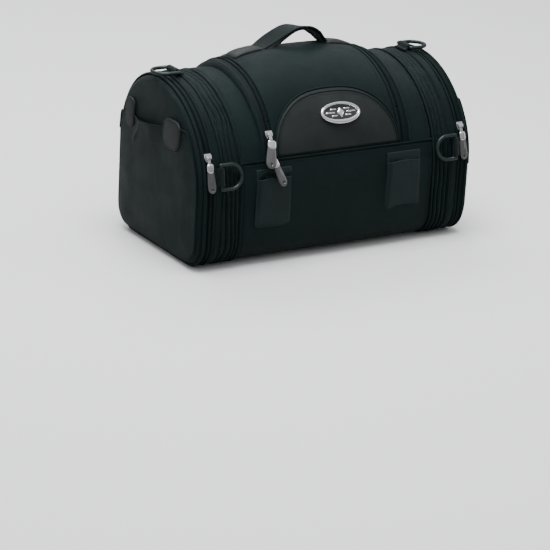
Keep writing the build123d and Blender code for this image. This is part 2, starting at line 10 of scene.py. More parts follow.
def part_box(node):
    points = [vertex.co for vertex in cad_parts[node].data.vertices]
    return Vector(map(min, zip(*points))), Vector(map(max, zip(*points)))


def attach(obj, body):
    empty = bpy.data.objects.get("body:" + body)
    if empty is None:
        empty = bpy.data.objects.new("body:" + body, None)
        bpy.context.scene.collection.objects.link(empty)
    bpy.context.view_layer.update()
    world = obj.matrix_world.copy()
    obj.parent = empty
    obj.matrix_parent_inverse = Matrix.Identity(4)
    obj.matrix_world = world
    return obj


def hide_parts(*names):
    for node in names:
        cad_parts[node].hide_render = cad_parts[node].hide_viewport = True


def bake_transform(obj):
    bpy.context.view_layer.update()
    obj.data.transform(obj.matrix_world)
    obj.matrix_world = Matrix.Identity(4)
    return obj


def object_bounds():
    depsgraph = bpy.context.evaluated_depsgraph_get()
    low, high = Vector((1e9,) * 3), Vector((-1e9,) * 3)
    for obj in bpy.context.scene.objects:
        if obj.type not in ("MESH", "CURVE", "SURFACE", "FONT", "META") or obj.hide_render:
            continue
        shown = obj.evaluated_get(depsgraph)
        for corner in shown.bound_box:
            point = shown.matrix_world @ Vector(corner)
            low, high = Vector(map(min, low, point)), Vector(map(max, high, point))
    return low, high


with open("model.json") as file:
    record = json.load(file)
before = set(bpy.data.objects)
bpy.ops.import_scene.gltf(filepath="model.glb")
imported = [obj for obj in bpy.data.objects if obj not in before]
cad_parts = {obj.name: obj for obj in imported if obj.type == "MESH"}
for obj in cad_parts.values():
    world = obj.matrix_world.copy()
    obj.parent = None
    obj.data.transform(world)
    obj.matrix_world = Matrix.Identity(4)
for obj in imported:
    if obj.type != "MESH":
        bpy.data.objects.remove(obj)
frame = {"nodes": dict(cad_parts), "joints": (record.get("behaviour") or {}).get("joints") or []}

# Looks of the soft tail bag. Metres, in the CAD frame: X across, -Y the badge face, +Z up.
# Most soft pieces are height fields over the bag's outline: a point is given by its station x,
# its arc length s round the outline (from the middle of the base towards the front) and its
# height above the outline.

CAD_LO, CAD_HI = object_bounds()
JOINT = {j["name"]: j for j in frame["joints"]}
NODES = frame["nodes"]
SIDES = (("left", -1), ("right", 1))
MM = 0.001


def low(node):
    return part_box(node)[0]


def high(node):
    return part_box(node)[1]


# ---------------------------------------------------------------- outline of the bag
TOP_Y, ARC_Z = JOINT["right_end_slider_travel"]["pos_m"][1:]
FRONT_Y = low("front_panel").y
BACK_Y = high("back_panel").y
TOP_Z = high("end_band_left").z
BACK_ARC_Z = high("back_panel").z
LOW_FRONT_Y = low("base_panel").y
LOW_BACK_Y = high("base_panel").y
FRONT_R = TOP_Y - FRONT_Y
BACK_R = BACK_Y - TOP_Y
LOW_FRONT_R = LOW_FRONT_Y - FRONT_Y
LOW_BACK_R = BACK_Y - LOW_BACK_Y
BODY_X = high("front_panel").x
SEAM_Z = high("front_panel").z
HINGE_Y, HINGE_Z = JOINT["lid_hinge"]["pos_m"][1:]
LID_X = high("lid_panel").x
LID_TOP_Z = high("lid_panel").z
ZIP_X = -JOINT["main_slider_travel"]["pos_m"][0]
ZIP_EDGE_X = low("top_band_right").x
BAND_X0 = low("end_band_right").x
BAND_X1 = low("end_zip_tape_right").x
END_ZIP_X = JOINT["right_end_slider_travel"]["pos_m"][0]
PANEL_X0 = JOINT["right_end_open"]["pos_m"][0]
PANEL_X1 = high("end_panel_right").x


def arc(centre_y, centre_z, radius, start, end):
    """Points and outward normals on an arc, as rows of y, z, normal y, normal z."""
    count = max(6, int(abs(math.radians(end - start)) * radius / MM))
    angle = np.radians(np.linspace(start, end, count))
    c, s = np.cos(angle), np.sin(angle)
    return np.stack([centre_y + radius * c, centre_z + radius * s, c, s], 1)


OUTLINE = np.concatenate([
    [[0, 0, 0, -1]],
    arc(LOW_FRONT_Y, LOW_FRONT_R, LOW_FRONT_R, 270, 180),
    arc(TOP_Y, ARC_Z, FRONT_R, 180, 90),
    arc(TOP_Y, BACK_ARC_Z, BACK_R, 90, 0),
    arc(LOW_BACK_Y, LOW_BACK_R, LOW_BACK_R, 0, -90),
    [[0, 0, 0, -1]],
])
STEPS = np.hypot(np.diff(OUTLINE[:, 0]), np.diff(OUTLINE[:, 1]))
ARC_S = np.concatenate([[0], np.cumsum(STEPS)])
LENGTH = ARC_S[-1]
TOP_S = ARC_S[np.argmax(OUTLINE[:, 1])]


def at(s):
    """y, z and outward normal of the outline at arc length s."""
    wrapped = np.mod(s, LENGTH)
    y, z, ny, nz = (np.interp(wrapped, ARC_S, OUTLINE[:, k]) for k in range(4))
    size = np.hypot(ny, nz)
    return y, z, ny / size, nz / size


def front_s(z):
    part = ARC_S <= TOP_S
    return float(np.interp(z, OUTLINE[part, 1], ARC_S[part]))


def back_s(z):
    part = ARC_S >= TOP_S
    return float(np.interp(z, OUTLINE[part, 1][::-1], ARC_S[part][::-1]))


def place(x, s, h):
    """Points at station x, arc length s and height h above the outline."""
    y, z, ny, nz = at(s)
    x, y, z = np.broadcast_arrays(x, y + ny * h, z + nz * h)
    return np.stack([x, y, z], -1)


LID_FRONT_R = ((TOP_Y - HINGE_Y) ** 2 + (LID_TOP_Z - HINGE_Z) ** 2) / (2 * (LID_TOP_Z - HINGE_Z))
LID_BACK_RISE = LID_TOP_Z - TOP_Z


def lid_height(s):
    """How far the lid's own outline stands above the bag's outline."""
    y, z, ny, nz = at(s)
    front = y < TOP_Y
    shift = np.where(front, LID_TOP_Z - LID_FRONT_R - ARC_Z, LID_BACK_RISE)
    radius = np.where(front, LID_FRONT_R, BACK_R)
    base = np.where(front, FRONT_R, BACK_R)
    inside = np.maximum(radius**2 - shift**2 * (1 - nz**2), 0)
    return nz * shift + np.sqrt(inside) - base


LID_TABLE_S = np.linspace(front_s(HINGE_Z), TOP_S, 400)
LID_TABLE_Z = at(LID_TABLE_S)[1] + at(LID_TABLE_S)[3] * lid_height(LID_TABLE_S)


def lid_front_s(z):
    return np.interp(z, LID_TABLE_Z, LID_TABLE_S)


def lumps(u, s, size, seed):
    """Smooth random field from -1 to 1 with features about size wide, closed round the outline."""
    table = np.random.default_rng(seed).uniform(-1, 1, (97, 97))
    rows = max(3, min(97, round(LENGTH / size)))
    a, b = np.asarray(u) / size, np.asarray(s) / LENGTH * rows
    i, j = np.floor(a).astype(int), np.floor(b).astype(int)
    f, g = a - i, b - j
    f, g = f * f * (3 - 2 * f), g * g * (3 - 2 * g)

    def corner(di, dj):
        return table[(i + di) % 97, (j + dj) % rows]

    below = corner(0, 0) * (1 - f) + corner(1, 0) * f
    above = corner(0, 1) * (1 - f) + corner(1, 1) * f
    return below * (1 - g) + above * g


def step(x, start, end):
    t = np.clip((x - start) / (end - start), 0, 1)
    return t * t * (3 - 2 * t)


def cross(a, b):
    """Every pair of two rows of numbers, as two arrays."""
    return np.meshgrid(a, b, indexing="ij")


def stations(sign, x_near, x_far, count):
    """Stations of one side of the bag, in rising order."""
    return np.sort(sign * np.linspace(x_near, x_far, count))


def turns(count):
    return np.linspace(0, 2 * math.pi, count, endpoint=False)


def squared(wave, power):
    """Squares up a circle: a sine or cosine raised to a power, its sign kept."""
    return np.sign(wave) * np.abs(wave) ** power


def bulge(t):
    """Quarter circle: 1 at t = 0, 0 from t = 1 on."""
    return np.sqrt(np.maximum(1 - np.clip(t, 0, 1) ** 2, 0))


def uv(a, b):
    return np.stack([a, b], -1)


def outward(s):
    """Outward normals of the outline at arc lengths s."""
    y, z, ny, nz = at(s)
    return np.stack([np.zeros_like(ny), ny, nz], -1)


def run_along(points):
    """Distance covered at each point of a path."""
    gaps = np.linalg.norm(np.diff(points, axis=0), axis=1)
    return np.concatenate([[0], np.cumsum(gaps)])


def looped(points):
    return np.concatenate([points, points[:1]])


# ---------------------------------------------------------------- meshes
def mesh_object(name, points, faces, uvs, material, smooth=True):
    mesh = bpy.data.meshes.new(name)
    mesh.from_pydata(np.asarray(points, float).tolist(), [], [list(f) for f in faces])
    mesh.update()
    if uvs is not None:
        layer = mesh.uv_layers.new(name="UVMap")
        index = np.zeros(len(mesh.loops), int)
        mesh.loops.foreach_get("vertex_index", index)
        layer.data.foreach_set("uv", np.asarray(uvs, np.float32)[index].ravel())
    mesh.polygons.foreach_set("use_smooth", [smooth] * len(mesh.polygons))
    mesh.materials.append(material)
    thing = bpy.data.objects.new(name, mesh)
    bpy.context.scene.collection.objects.link(thing)
    return thing


def grid(name, points, uvs, material, wrap=False, flip=False):
    """Mesh over an n by m array of points; wrap closes it along the second direction."""
    n, m = points.shape[:2]
    last = m if wrap else m - 1
    i, j = cross(np.arange(n - 1), np.arange(last))
    k = (j + 1) % m
    faces = np.stack([i * m + j, (i + 1) * m + j, (i + 1) * m + k, i * m + k], -1).reshape(-1, 4)
    if flip:
        faces = faces[:, ::-1]
    return mesh_object(name, points.reshape(-1, 3), faces, uvs.reshape(-1, 2), material)


def sheet(name, xs, ss, height, material, wrap=False):
    """Sheet over the outline, its height given by a function of x and s."""
    x, s = cross(xs, ss)
    return grid(name, place(x, s, height(x, s)), uv(x, s), material, wrap)


def around(count=420):
    return np.linspace(0, LENGTH, count, endpoint=False)


def thicken(thing, amount):
    modifier = thing.modifiers.new("thickness", "SOLIDIFY")
    modifier.thickness = amount
    modifier.offset = -1
    return thing


def cloth(name, xs, ss, height, material, thick, wrap=False):
    return thicken(sheet(name, xs, ss, height, material, wrap), thick)


def level(h):
    """Height function of a flat sheet."""
    return lambda x, s: h + 0 * x


def along(points, closed=False):
    """Unit direction at each point of a path."""
    if closed:
        step_on = np.roll(points, -1, 0) - np.roll(points, 1, 0)
    else:
        step_on = np.gradient(points, axis=0)
    return step_on / np.linalg.norm(step_on, axis=1, keepdims=True)


def tube(name, points, normals, radius, closed=False, sides=10):
    """Round piping cord along a path."""
    normals = np.broadcast_to(normals, points.shape)
    ahead = along(points, closed)
    across = np.cross(ahead, normals)
    turn = turns(sides)
    radius = np.broadcast_to(radius, len(points))[:, None, None]
    rings = (
        points[:, None]
        + np.cos(turn)[None, :, None] * normals[:, None] * radius
        + np.sin(turn)[None, :, None] * across[:, None] * radius
    )
    if closed:
        rings = np.concatenate([rings, rings[:1]])
    u, v = cross(run_along(rings[:, 0]), turn * 2 * MM)
    return grid(name, rings, uv(v, u), PIPING, wrap=True, flip=True)


def resample(points, normals, pitch, late=0.0):
    """Points and normals at every pitch along a path, late by a share of the pitch."""
    run = run_along(points)
    where = np.arange(pitch * (0.5 + late), run[-1], pitch)
    return [np.stack([np.interp(where, run, a[:, k]) for k in range(3)], 1) for a in (points, normals)]


def repeated(name, points, normals, shape, faces, material, smooth=True):
    """One mesh holding a small shape at every point, its x along the path, y across, z outward."""
    ahead = along(points)
    across = np.cross(normals, ahead)
    basis = np.stack([ahead, across, normals], 1)
    copies = points[:, None] + np.einsum("kv,nvd->nkd", shape, basis)
    count = len(shape)
    offset = (np.arange(len(points)) * count)[:, None, None]
    all_faces = (np.asarray(faces)[None] + offset).reshape(-1, len(faces[0]))
    uv = np.tile(shape[:, :2], (len(points), 1))
    return mesh_object(name, copies.reshape(-1, 3), all_faces, uv, material, smooth)


# Pitch, length and width of the kinds of stitch
SEAM_THREAD = 3.2 * MM, 2.3 * MM, 0.75 * MM
SMALL_THREAD = 2.8 * MM, 2.0 * MM, 0.65 * MM
STRAP_THREAD = 2.6 * MM, 1.9 * MM, 0.65 * MM
FINE_THREAD = 2.6 * MM, 1.9 * MM, 0.6 * MM


def stitches(points, normals, kind=SEAM_THREAD, name="row"):
    """A row of thread stitches lying on a surface."""
    pitch, length, width = kind
    points, normals = resample(points, np.broadcast_to(normals, points.shape), pitch)
    rings = []
    for t, fat in ((-1.0, 0.25), (-0.6, 0.9), (0.6, 0.9), (1.0, 0.25)):
        for angle in np.linspace(0, math.pi, 5):
            sunk = -0.25 * (1 - fat)
            rings.append((t * length / 2, math.cos(angle) * fat * width / 2,
                          (math.sin(angle) * fat + sunk) * width * 0.6))
    faces = [(r * 5 + k, (r + 1) * 5 + k, (r + 1) * 5 + k + 1, r * 5 + k + 1)
             for r in range(3) for k in range(4)]
    return repeated(name, points, normals, np.array(rings), faces, THREAD)


BOX_FACES = ((0, 1, 3, 2), (4, 6, 7, 5), (0, 4, 5, 1), (2, 3, 7, 6), (0, 2, 6, 4), (1, 5, 7, 3))


def teeth(points, normals, way, late=0.0):
    """One side of a zip coil: small raised teeth reaching across the line of the zip."""
    spots, outs = resample(points, normals, 1.7 * MM, late)
    shape = []
    for x in (-0.45 * MM, 0.45 * MM):
        for y in (way * 2.1 * MM, way * -0.9 * MM):
            for z, shrink in ((-0.3 * MM, 1.0), (1.0 * MM, 0.7)):
                shape.append((x * shrink, y, z))
    return repeated("coil", spots, outs, np.array(shape), BOX_FACES, COIL, smooth=False)


def pillow(name, edge, put, height, material, rings=26, flip=False):
    """Patch with any outline: edge is its boundary in flat coordinates, put turns flat
    coordinates and a height into points, height is a function of how far out a point is."""
    edge = np.asarray(edge, float)
    middle = edge.mean(0)
    out = np.concatenate([np.linspace(0, 0.86, rings), np.linspace(0.88, 1.0, 8), [1.0]])
    spread = middle + out[:, None, None] * (edge - middle)[None]
    u, v = spread[..., 0], spread[..., 1]
    h = height(np.broadcast_to(out[:, None], u.shape), u, v)
    h[-1] = -0.8 * MM
    points = put(u, v, h)
    return grid(name, points, uv(u, v), material, wrap=True, flip=flip)


def rounded(half_u, half_v, radius, middle=(0, 0), per_corner=10, per_side=12):
    """Boundary of a rounded rectangle, going round once."""
    points = []
    corners = ((1, -1, -90), (1, 1, 0), (-1, 1, 90), (-1, -1, 180))
    for k, (su, sv, start) in enumerate(corners):
        cu, cv = su * (half_u - radius), sv * (half_v - radius)
        turn = np.radians(np.linspace(start, start + 90, per_corner))
        ring = np.stack([cu + radius * np.cos(turn), cv + radius * np.sin(turn)], 1)
        points.extend(ring)
        nu, nv, begin = corners[(k + 1) % 4]
        ahead = np.radians(begin)
        target = np.array([nu * (half_u - radius) + radius * math.cos(ahead),
                           nv * (half_v - radius) + radius * math.sin(ahead)])
        for t in np.linspace(0, 1, per_side)[1:-1]:
            points.append(ring[-1] * (1 - t) + target * t)
    return np.array(points) + middle


def cushion(flat, full, crown=0.0):
    """Height profile of a patch: crowned in the middle and rolled over at its edge."""
    return lambda out, u, v: full * bulge((out - flat) / (1 - flat)) + crown * (1 - out**2)


def wear(thing, body, replaces=()):
    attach(thing, body)
    if replaces:
        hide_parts(*replaces)
    return thing


# ---------------------------------------------------------------- materials
class Nodes:
    """Short way to write a tree of shader nodes."""

    def __init__(self, tree):
        self.tree = tree

    def put(self, node, values):
        for key, value in values.items():
            if isinstance(value, bpy.types.NodeSocket):
                self.tree.links.new(value, node.inputs[key])
            else:
                node.inputs[key].default_value = value

    def add(self, kind, values=None, out=0, **settings):
        node = self.tree.nodes.new("ShaderNode" + kind)
        for key, value in settings.items():
            setattr(node, key, value)
        self.put(node, values or {})
        return node.outputs[out]

    def math(self, operation, a, b=0.0):
        return self.add("Math", {0: a, 1: b}, operation=operation)

    def times(self, a, b):
        return self.math("MULTIPLY", a, b)

    def mix(self, share, a, b):
        return self.add("MixRGB", {"Fac": share, "Color1": a, "Color2": b})

    def noise(self, scale, detail=3.0, where=None):
        where = where or self.add("TexCoord", out=3)
        return self.add("TexNoise", {"Vector": where, "Scale": scale, "Detail": detail})

    def spread(self, value, from_low, from_high, to_low, to_high):
        return self.add("MapRange", {
            "Value": value, "From Min": from_low, "From Max": from_high,
            "To Min": to_low, "To Max": to_high,
        })


class Shade(Nodes):
    """The nodes of one material."""

    def __init__(self, name, **values):
        self.material = bpy.data.materials.new(name)
        self.material.use_nodes = True
        super().__init__(self.material.node_tree)
        self.main = self.tree.nodes["Principled BSDF"]
        self.put(self.main, {key.replace("_", " "): value for key, value in values.items()})

    def threads(self, pitch_u, pitch_v):
        """Height of a plain weave over the UV map, whose unit is the metre."""
        parts = self.tree.nodes.new("ShaderNodeSeparateXYZ")
        self.tree.links.new(self.add("TexCoord", out=2), parts.inputs[0])
        warp = self.math("SINE", self.times(parts.outputs[0], math.pi / pitch_u))
        weft = self.math("SINE", self.times(parts.outputs[1], math.pi / pitch_v))
        over = self.math("GREATER_THAN", self.times(warp, weft), 0.0)
        under = self.math("SUBTRACT", 1.0, over)
        up = self.times(over, self.math("ABSOLUTE", warp))
        down = self.times(under, self.math("ABSOLUTE", weft))
        return self.math("ADD", up, down)

    def bump(self, height, distance, strength=1.0, under=None):
        values = {"Height": height, "Distance": distance, "Strength": strength}
        if under is not None:
            values["Normal"] = under
        return self.add("Bump", values)

    def edges(self):
        """Share of edge wear: near 1 on worn convex edges."""
        point = self.add("NewGeometry", out=7)
        convex = self.spread(point, 0.52, 0.60, 0.0, 1.0)
        return self.times(convex, self.spread(self.noise(240.0), 0.4, 0.7, 0.2, 1.0))

    def finish(self, colour, rough, normal):
        self.put(self.main, {"Base Color": colour, "Roughness": rough, "Normal": normal})
        return self.material


def rgb(r, g, b):
    return (r, g, b, 1.0)


def tinted(colour, times, plus=0.0, most=1.0):
    return rgb(*[min(c * times + plus, most) for c in colour[:3]])


def fabric(name, dark, light, pitch, depth, rough, sheen, puffy=0.35):
    """Coated woven cloth: threads with painted shade between them, soft unevenness, dusty variation and worn
    edges.
    """
    s = Shade(name, Sheen_Weight=sheen, Sheen_Roughness=0.35, Specular_IOR_Level=0.13)
    weave = s.threads(*pitch)
    patchy = s.spread(s.noise(14.0, 4.0), 0.35, 0.7, 0.0, 1.0)
    fine = s.noise(700.0, 2.0)
    base = s.mix(s.times(patchy, 0.55), dark, light)
    # Painted shade: the colour darkens towards black between the threads, where the weave is low
    base = s.mix(s.times(s.math("SUBTRACT", 1.0, weave), 0.35), base, rgb(0, 0, 0))
    base = s.mix(s.times(s.edges(), 0.25), base, tinted(dark, 3, 0.006))
    lump = s.bump(s.noise(95.0, 3.0), 0.0009, puffy)
    normal = s.bump(weave, depth, 0.8, lump)
    normal = s.bump(fine, 0.00012, 0.5, normal)
    roughness = s.spread(s.noise(30.0), 0.3, 0.7, rough - 0.06, rough + 0.08)
    return s.finish(base, roughness, normal)


def leather(name, dark, light, rough, grain=620.0, shine=0.22):
    """Fine-grained leatherette: small cells with creases, sheen spots and worn edges."""
    s = Shade(name, Sheen_Weight=0.02, Specular_IOR_Level=shine)
    where = s.add("TexCoord", out=3)
    warp = s.add("VectorMath", {0: where, 1: s.add("TexNoise", {"Vector": where, "Scale": 180.0}, out=1)},
                 operation="MULTIPLY_ADD")
    warp.node.inputs[1].default_value = (1, 1, 1)
    cells = s.add("TexVoronoi", {"Vector": where, "Scale": grain}, feature="DISTANCE_TO_EDGE")
    grained = s.spread(cells, 0.0, 0.22, 0.0, 1.0)
    blotch = s.spread(s.noise(22.0, 5.0), 0.35, 0.68, 0.0, 1.0)
    base = s.mix(blotch, dark, light)
    base = s.mix(s.times(s.edges(), 0.35), base, tinted(light, 1.9, 0.007))
    lump = s.bump(s.noise(60.0, 4.0), 0.001, 0.3)
    normal = s.bump(grained, 0.00025, 0.55, lump)
    roughness = s.spread(blotch, 0.0, 1.0, rough, rough + 0.14)
    return s.finish(base, roughness, normal)


def metal(name, colour, rough, scratch, metallic=1.0, coat=0.0):
    """Plated or painted metal with fine scratches and slight unevenness."""
    s = Shade(name, Metallic=metallic, Coat_Weight=coat)
    where = s.add("TexCoord", out=3)
    thin = s.add("Mapping", {"Vector": where, "Scale": (60.0, 300.0, 900.0)})
    lines = s.spread(s.noise(1.0, 6.0, thin), 0.5, 0.75, 0.0, 1.0)
    blotch = s.noise(160.0, 4.0)
    base = s.mix(s.times(lines, scratch), colour, tinted(colour, 0.6))
    base = s.mix(s.times(s.edges(), 0.3), base, tinted(colour, 1.5, 0.01, 0.8))
    roughness = s.math("ADD", s.spread(blotch, 0.3, 0.7, rough * 0.7, rough * 1.5),
                       s.times(lines, 0.15))
    normal = s.bump(blotch, 0.0001, 0.2)
    return s.finish(base, roughness, normal)


def plastic(name, colour, rough, grain, coat=0.0, shine=0.5):
    """Moulded plastic: fine spark texture, handling marks, paler edges."""
    s = Shade(name, Coat_Weight=coat, Coat_Roughness=0.12, Specular_IOR_Level=shine)
    marks = s.spread(s.noise(90.0, 5.0), 0.4, 0.7, 0.0, 1.0)
    base = s.mix(s.times(marks, 0.35), colour, tinted(colour, 0.62))
    base = s.mix(s.times(s.edges(), 0.3), base, tinted(colour, 1.5, 0.008))
    normal = s.bump(s.noise(grain, 2.0), 0.0001, 0.5)
    return s.finish(base, s.spread(marks, 0, 1, rough, rough + 0.12), normal)


NYLON_DARK, NYLON_LIGHT = rgb(0.0012, 0.0082, 0.0085), rgb(0.0030, 0.0140, 0.0145)
NYLON = fabric("nylon", NYLON_DARK, NYLON_LIGHT, (0.00055, 0.00055), 0.00016, 0.5, 0.05)
FOLDED = fabric("nylon_folded", NYLON_DARK, NYLON_LIGHT, (0.00055, 0.00055), 0.00016, 0.48, 0.04, 0.8)
BAND = fabric("nylon_band", rgb(0.0014, 0.0084, 0.0088), rgb(0.0034, 0.0144, 0.015),
              (0.0009, 0.0005), 0.0002, 0.48, 0.05)
WEBBING = fabric("webbing", rgb(0.0045, 0.011, 0.0112), rgb(0.010, 0.019, 0.0192),
                 (0.0022, 0.0008), 0.00045, 0.5, 0.08)
TAPE = fabric("zip_tape", rgb(0.0018, 0.0065, 0.0068), rgb(0.0036, 0.0105, 0.011),
              (0.0012, 0.0006), 0.0002, 0.55, 0.04)
LINING = fabric("lining", rgb(0.03, 0.034, 0.037), rgb(0.05, 0.055, 0.06),
                (0.0005, 0.0005), 0.0001, 0.6, 0.2, 0.7)
LEATHER = leather("leatherette", rgb(0.0072, 0.0108, 0.0110), rgb(0.0130, 0.0165, 0.0167), 0.4)
SLEEVE = leather("leatherette_dark", rgb(0.0044, 0.0122, 0.0126), rgb(0.0078, 0.0178, 0.0183), 0.46, shine=0.2)
PIPING = leather("piping", rgb(0.0024, 0.0085, 0.0088), rgb(0.0050, 0.0135, 0.0140), 0.5, 900.0, 0.08)
CHROME = metal("chrome", rgb(0.76, 0.77, 0.78), 0.09, 0.5)
BLACK_METAL = metal("black_metal", rgb(0.016, 0.026, 0.027), 0.34, 0.3, 0.5, 0.12)
COIL = plastic("zip_coil", rgb(0.0035, 0.0105, 0.011), 0.5, 900.0, shine=0.12)
THREAD = plastic("thread", rgb(0.008, 0.019, 0.0195), 0.6, 1600.0, shine=0.15)
GREY = plastic("pull_grey", rgb(0.062, 0.061, 0.064), 0.17, 500.0, 0.8)
# Near-black discs in the pulls' holes: painted shade standing in for the holes' depth
HOLE_SHADE = plastic("pull_hole_shade", rgb(0.004, 0.005, 0.005), 0.6, 500.0)
GLOSS = plastic("badge_field", rgb(0.006, 0.007, 0.008), 0.12, 300.0, 0.8)
BLACK_PLASTIC = plastic("black_plastic", rgb(0.018, 0.02, 0.021), 0.42, 800.0)
BOARD = plastic("board", rgb(0.03, 0.03, 0.03), 0.6, 700.0)


# ---------------------------------------------------------------- main bag
SEAM_S = front_s(SEAM_Z)
BACK_TOP_S = back_s(BACK_ARC_Z)
LOW_FRONT_S = -LOW_FRONT_Y
LOW_BACK_S = LENGTH - LOW_BACK_Y


def panel_height(x_edge, s_start, s_end, crown, seed, roll=6 * MM, tuck=1.2 * MM):
    """Sewn panel: crowned between its seams, tucked down at them, puckered beside them."""
    def height(x, s):
        to_x = x_edge - np.abs(x)
        to_s = np.minimum(s - s_start, s_end - s)
        inset = np.minimum(to_x, to_s)
        rise = crown * step(to_x, 0, 60 * MM) * step(to_s, 0, 45 * MM)
        pucker = lumps(x, s, 9 * MM, seed) * np.exp(-np.maximum(inset, 0) / (9 * MM)) * 0.5 * MM
        soft = lumps(x, s, 55 * MM, seed + 1) * 0.9 * MM + lumps(x, s, 24 * MM, seed + 2) * 0.25 * MM
        return rise + pucker + soft * step(inset, 0, 25 * MM) - tuck * (1 - step(inset, -0.5 * MM, roll))
    return height


for name, panel, start, end, count, crown, seed in (
        ("front_skin", "front_panel", LOW_FRONT_S, SEAM_S, 84, 1.2 * MM, 3),
        ("base_skin", "base_panel", LOW_BACK_S - LENGTH, LOW_FRONT_S, 64, -1.0 * MM, 5),
        ("back_skin", "back_panel", BACK_TOP_S, LOW_BACK_S, 76, 1.5 * MM, 8)):
    skin = cloth(name, np.linspace(-BODY_X, BODY_X, 131), np.linspace(start, end, count),
                 panel_height(BODY_X, start, end, crown, seed), NYLON, 2.4 * MM)
    wear(skin, "main_bag", [panel])


def band_height(x_low, x_high, crown, seed):
    """Strip between two seams that runs round the bag."""
    def height(x, s):
        side = np.abs(x)
        share = (side - x_low) / (x_high - x_low)
        arch = 1 - np.abs(2 * share - 1) ** 3.2
        inset = np.minimum(side - x_low, x_high - side)
        pucker = lumps(x, s, 8 * MM, seed) * np.exp(-np.maximum(inset, 0) / (7 * MM)) * 0.4 * MM
        tuck = 1.3 * MM * (1 - step(inset, 0, 4 * MM))
        return crown * arch - tuck + pucker + lumps(x, s, 40 * MM, seed + 1) * 0.5 * MM
    return height


for side, sign in SIDES:
    skin = cloth(f"top_band_skin_{side}", stations(sign, ZIP_EDGE_X, BODY_X, 22),
                 np.linspace(SEAM_S, BACK_TOP_S, 190),
                 band_height(ZIP_EDGE_X, BODY_X, 1.6 * MM, 20 + sign), NYLON, 2 * MM)
    wear(skin, "main_bag", [f"top_band_{side}"])


def raised(s):
    """Height of the main zip: it runs at the lid's level, and at the bag's below the hinge."""
    return np.maximum(lid_height(s), 0) * step(s, SEAM_S, SEAM_S + 4 * MM)


WELT_DIP = 0.35


def welt_top(s):
    """Height of the main zip's outer edge, where it has started down to the band."""
    return raised(s) * (1 - WELT_DIP)


def ring_path(x, h, count=360, start=0.0, end=LENGTH, lift=None):
    """Path round the outline at station x and height h, with its outward normals."""
    closed = end - start >= LENGTH - 1e-9
    s = np.linspace(start, end, count, endpoint=not closed)
    if lift is not None:
        h = h + lift(s)
    return place(np.full_like(s, x), s, h), outward(s), closed


def join(name, things):
    """Join meshes into the first one."""
    bpy.ops.object.select_all(action="DESELECT")
    for thing in things:
        thing.select_set(True)
    bpy.context.view_layer.objects.active = things[0]
    bpy.ops.object.join()
    things[0].name = name
    things[0].data.name = name
    return things[0]


def ring_cord(name, x, h, radius, start=0.0, end=LENGTH, lift=None):
    points, normals, closed = ring_path(x, h, start=start, end=end, lift=lift)
    return tube(name, points, normals, radius, closed)


def ring_stitches(x, h, start=0.0, end=LENGTH):
    points, normals, _ = ring_path(x, h, 420, start, end)
    return stitches(points, normals)


def cross_path(s, h, x_start, x_end, count=160):
    """Straight path across the bag at arc length s."""
    x = np.linspace(x_start, x_end, count)
    s = np.full_like(x, s)
    return place(x, s, h), outward(s)


def cross_cord(name, s, h, half, radius):
    return tube(name, *cross_path(s, h, -half, half), radius)


def cross_stitches(s, h, x_start, x_end):
    return stitches(*cross_path(s, h, x_start, x_end))


PIPE_X = high("body_piping").x - 1.1 * MM
cords = [ring_cord("body_cord", sign * PIPE_X, 0.6 * MM, 1.7 * MM) for _, sign in SIDES]
wear(join("body_piping_cord", cords), "main_bag", ["body_piping"])
cords = [ring_cord("zip_edge_cord", sign * (ZIP_EDGE_X + 1 * MM), 0.2 * MM, 1.5 * MM,
                   SEAM_S, BACK_TOP_S, welt_top) for _, sign in SIDES]
wear(join("zip_edge_piping", cords), "main_bag")
walls = []
for _, sign in SIDES:
    s, share = cross(np.linspace(SEAM_S, BACK_TOP_S, 190), np.linspace(0, 1, 8))
    h = -1.5 * MM + share * (welt_top(s) + 1.6 * MM)
    spread = (1 - share) * welt_top(s) * 0.45 + 0.9 * MM * np.sin(math.pi * share)
    x = sign * (ZIP_EDGE_X + 1.6 * MM + spread + 0.3 * MM * lumps(share, s, 16 * MM, 33))
    walls.append(grid("welt", place(x, s, h), uv(s, h), NYLON, flip=sign > 0))
wear(thicken(join("zip_edge_welt", walls), 1.0 * MM), "main_bag")
rows = [ring_stitches(sign * x, h, start, end) for _, sign in SIDES for x, h, start, end in (
    (BODY_X - 4 * MM, 0.9 * MM, LOW_BACK_S - LENGTH, SEAM_S),
    (BODY_X - 5 * MM, 1.3 * MM, SEAM_S, BACK_TOP_S),
    (ZIP_EDGE_X + 5 * MM, 1.3 * MM, SEAM_S, BACK_TOP_S))]
wear(join("body_stitching", rows), "main_bag")


wear(cross_cord("front_seam_cord", SEAM_S, 0.2 * MM, BODY_X, 1.2 * MM), "main_bag")
wear(cross_cord("back_seam_cord", BACK_TOP_S, 0.3 * MM, BODY_X, 1.4 * MM), "main_bag")
rows = [cross_stitches(SEAM_S - 4.5 * MM, 0.8 * MM, -BODY_X, BODY_X),
        cross_stitches(SEAM_S - 15 * MM, 0.8 * MM, BODY_X - 26 * MM, BODY_X - 2 * MM),
        cross_stitches(SEAM_S - 15 * MM, 0.8 * MM, -BODY_X + 2 * MM, -BODY_X + 26 * MM),
        cross_stitches(LOW_FRONT_S + 5 * MM, 0.3 * MM, -BODY_X, BODY_X)]
wear(join("front_stitching", rows), "main_bag")

# ---------------------------------------------------------------- main zip
BACK_ZIP_S = back_s((high("back_panel").z + low("lid_zip_tape").z) / 2 + 3 * MM)
LID_BACK_S = back_s(low("lid_zip_tape").z + 6 * MM)
PARK_S = front_s(high("main_slider_a").z + 6 * MM)


def end_tape(x, s):
    return -0.6 * MM + 0.25 * MM * np.sin(np.abs(x) / (1.6 * MM)) + lumps(x, s, 30 * MM, 31) * 0.2 * MM


def tape_height(x, s):
    outer = np.clip((np.abs(x) - ZIP_X - 2 * MM) / (ZIP_EDGE_X - ZIP_X - 2 * MM), 0, 1)
    return end_tape(x, s) + raised(s) * (1 - WELT_DIP * outer)


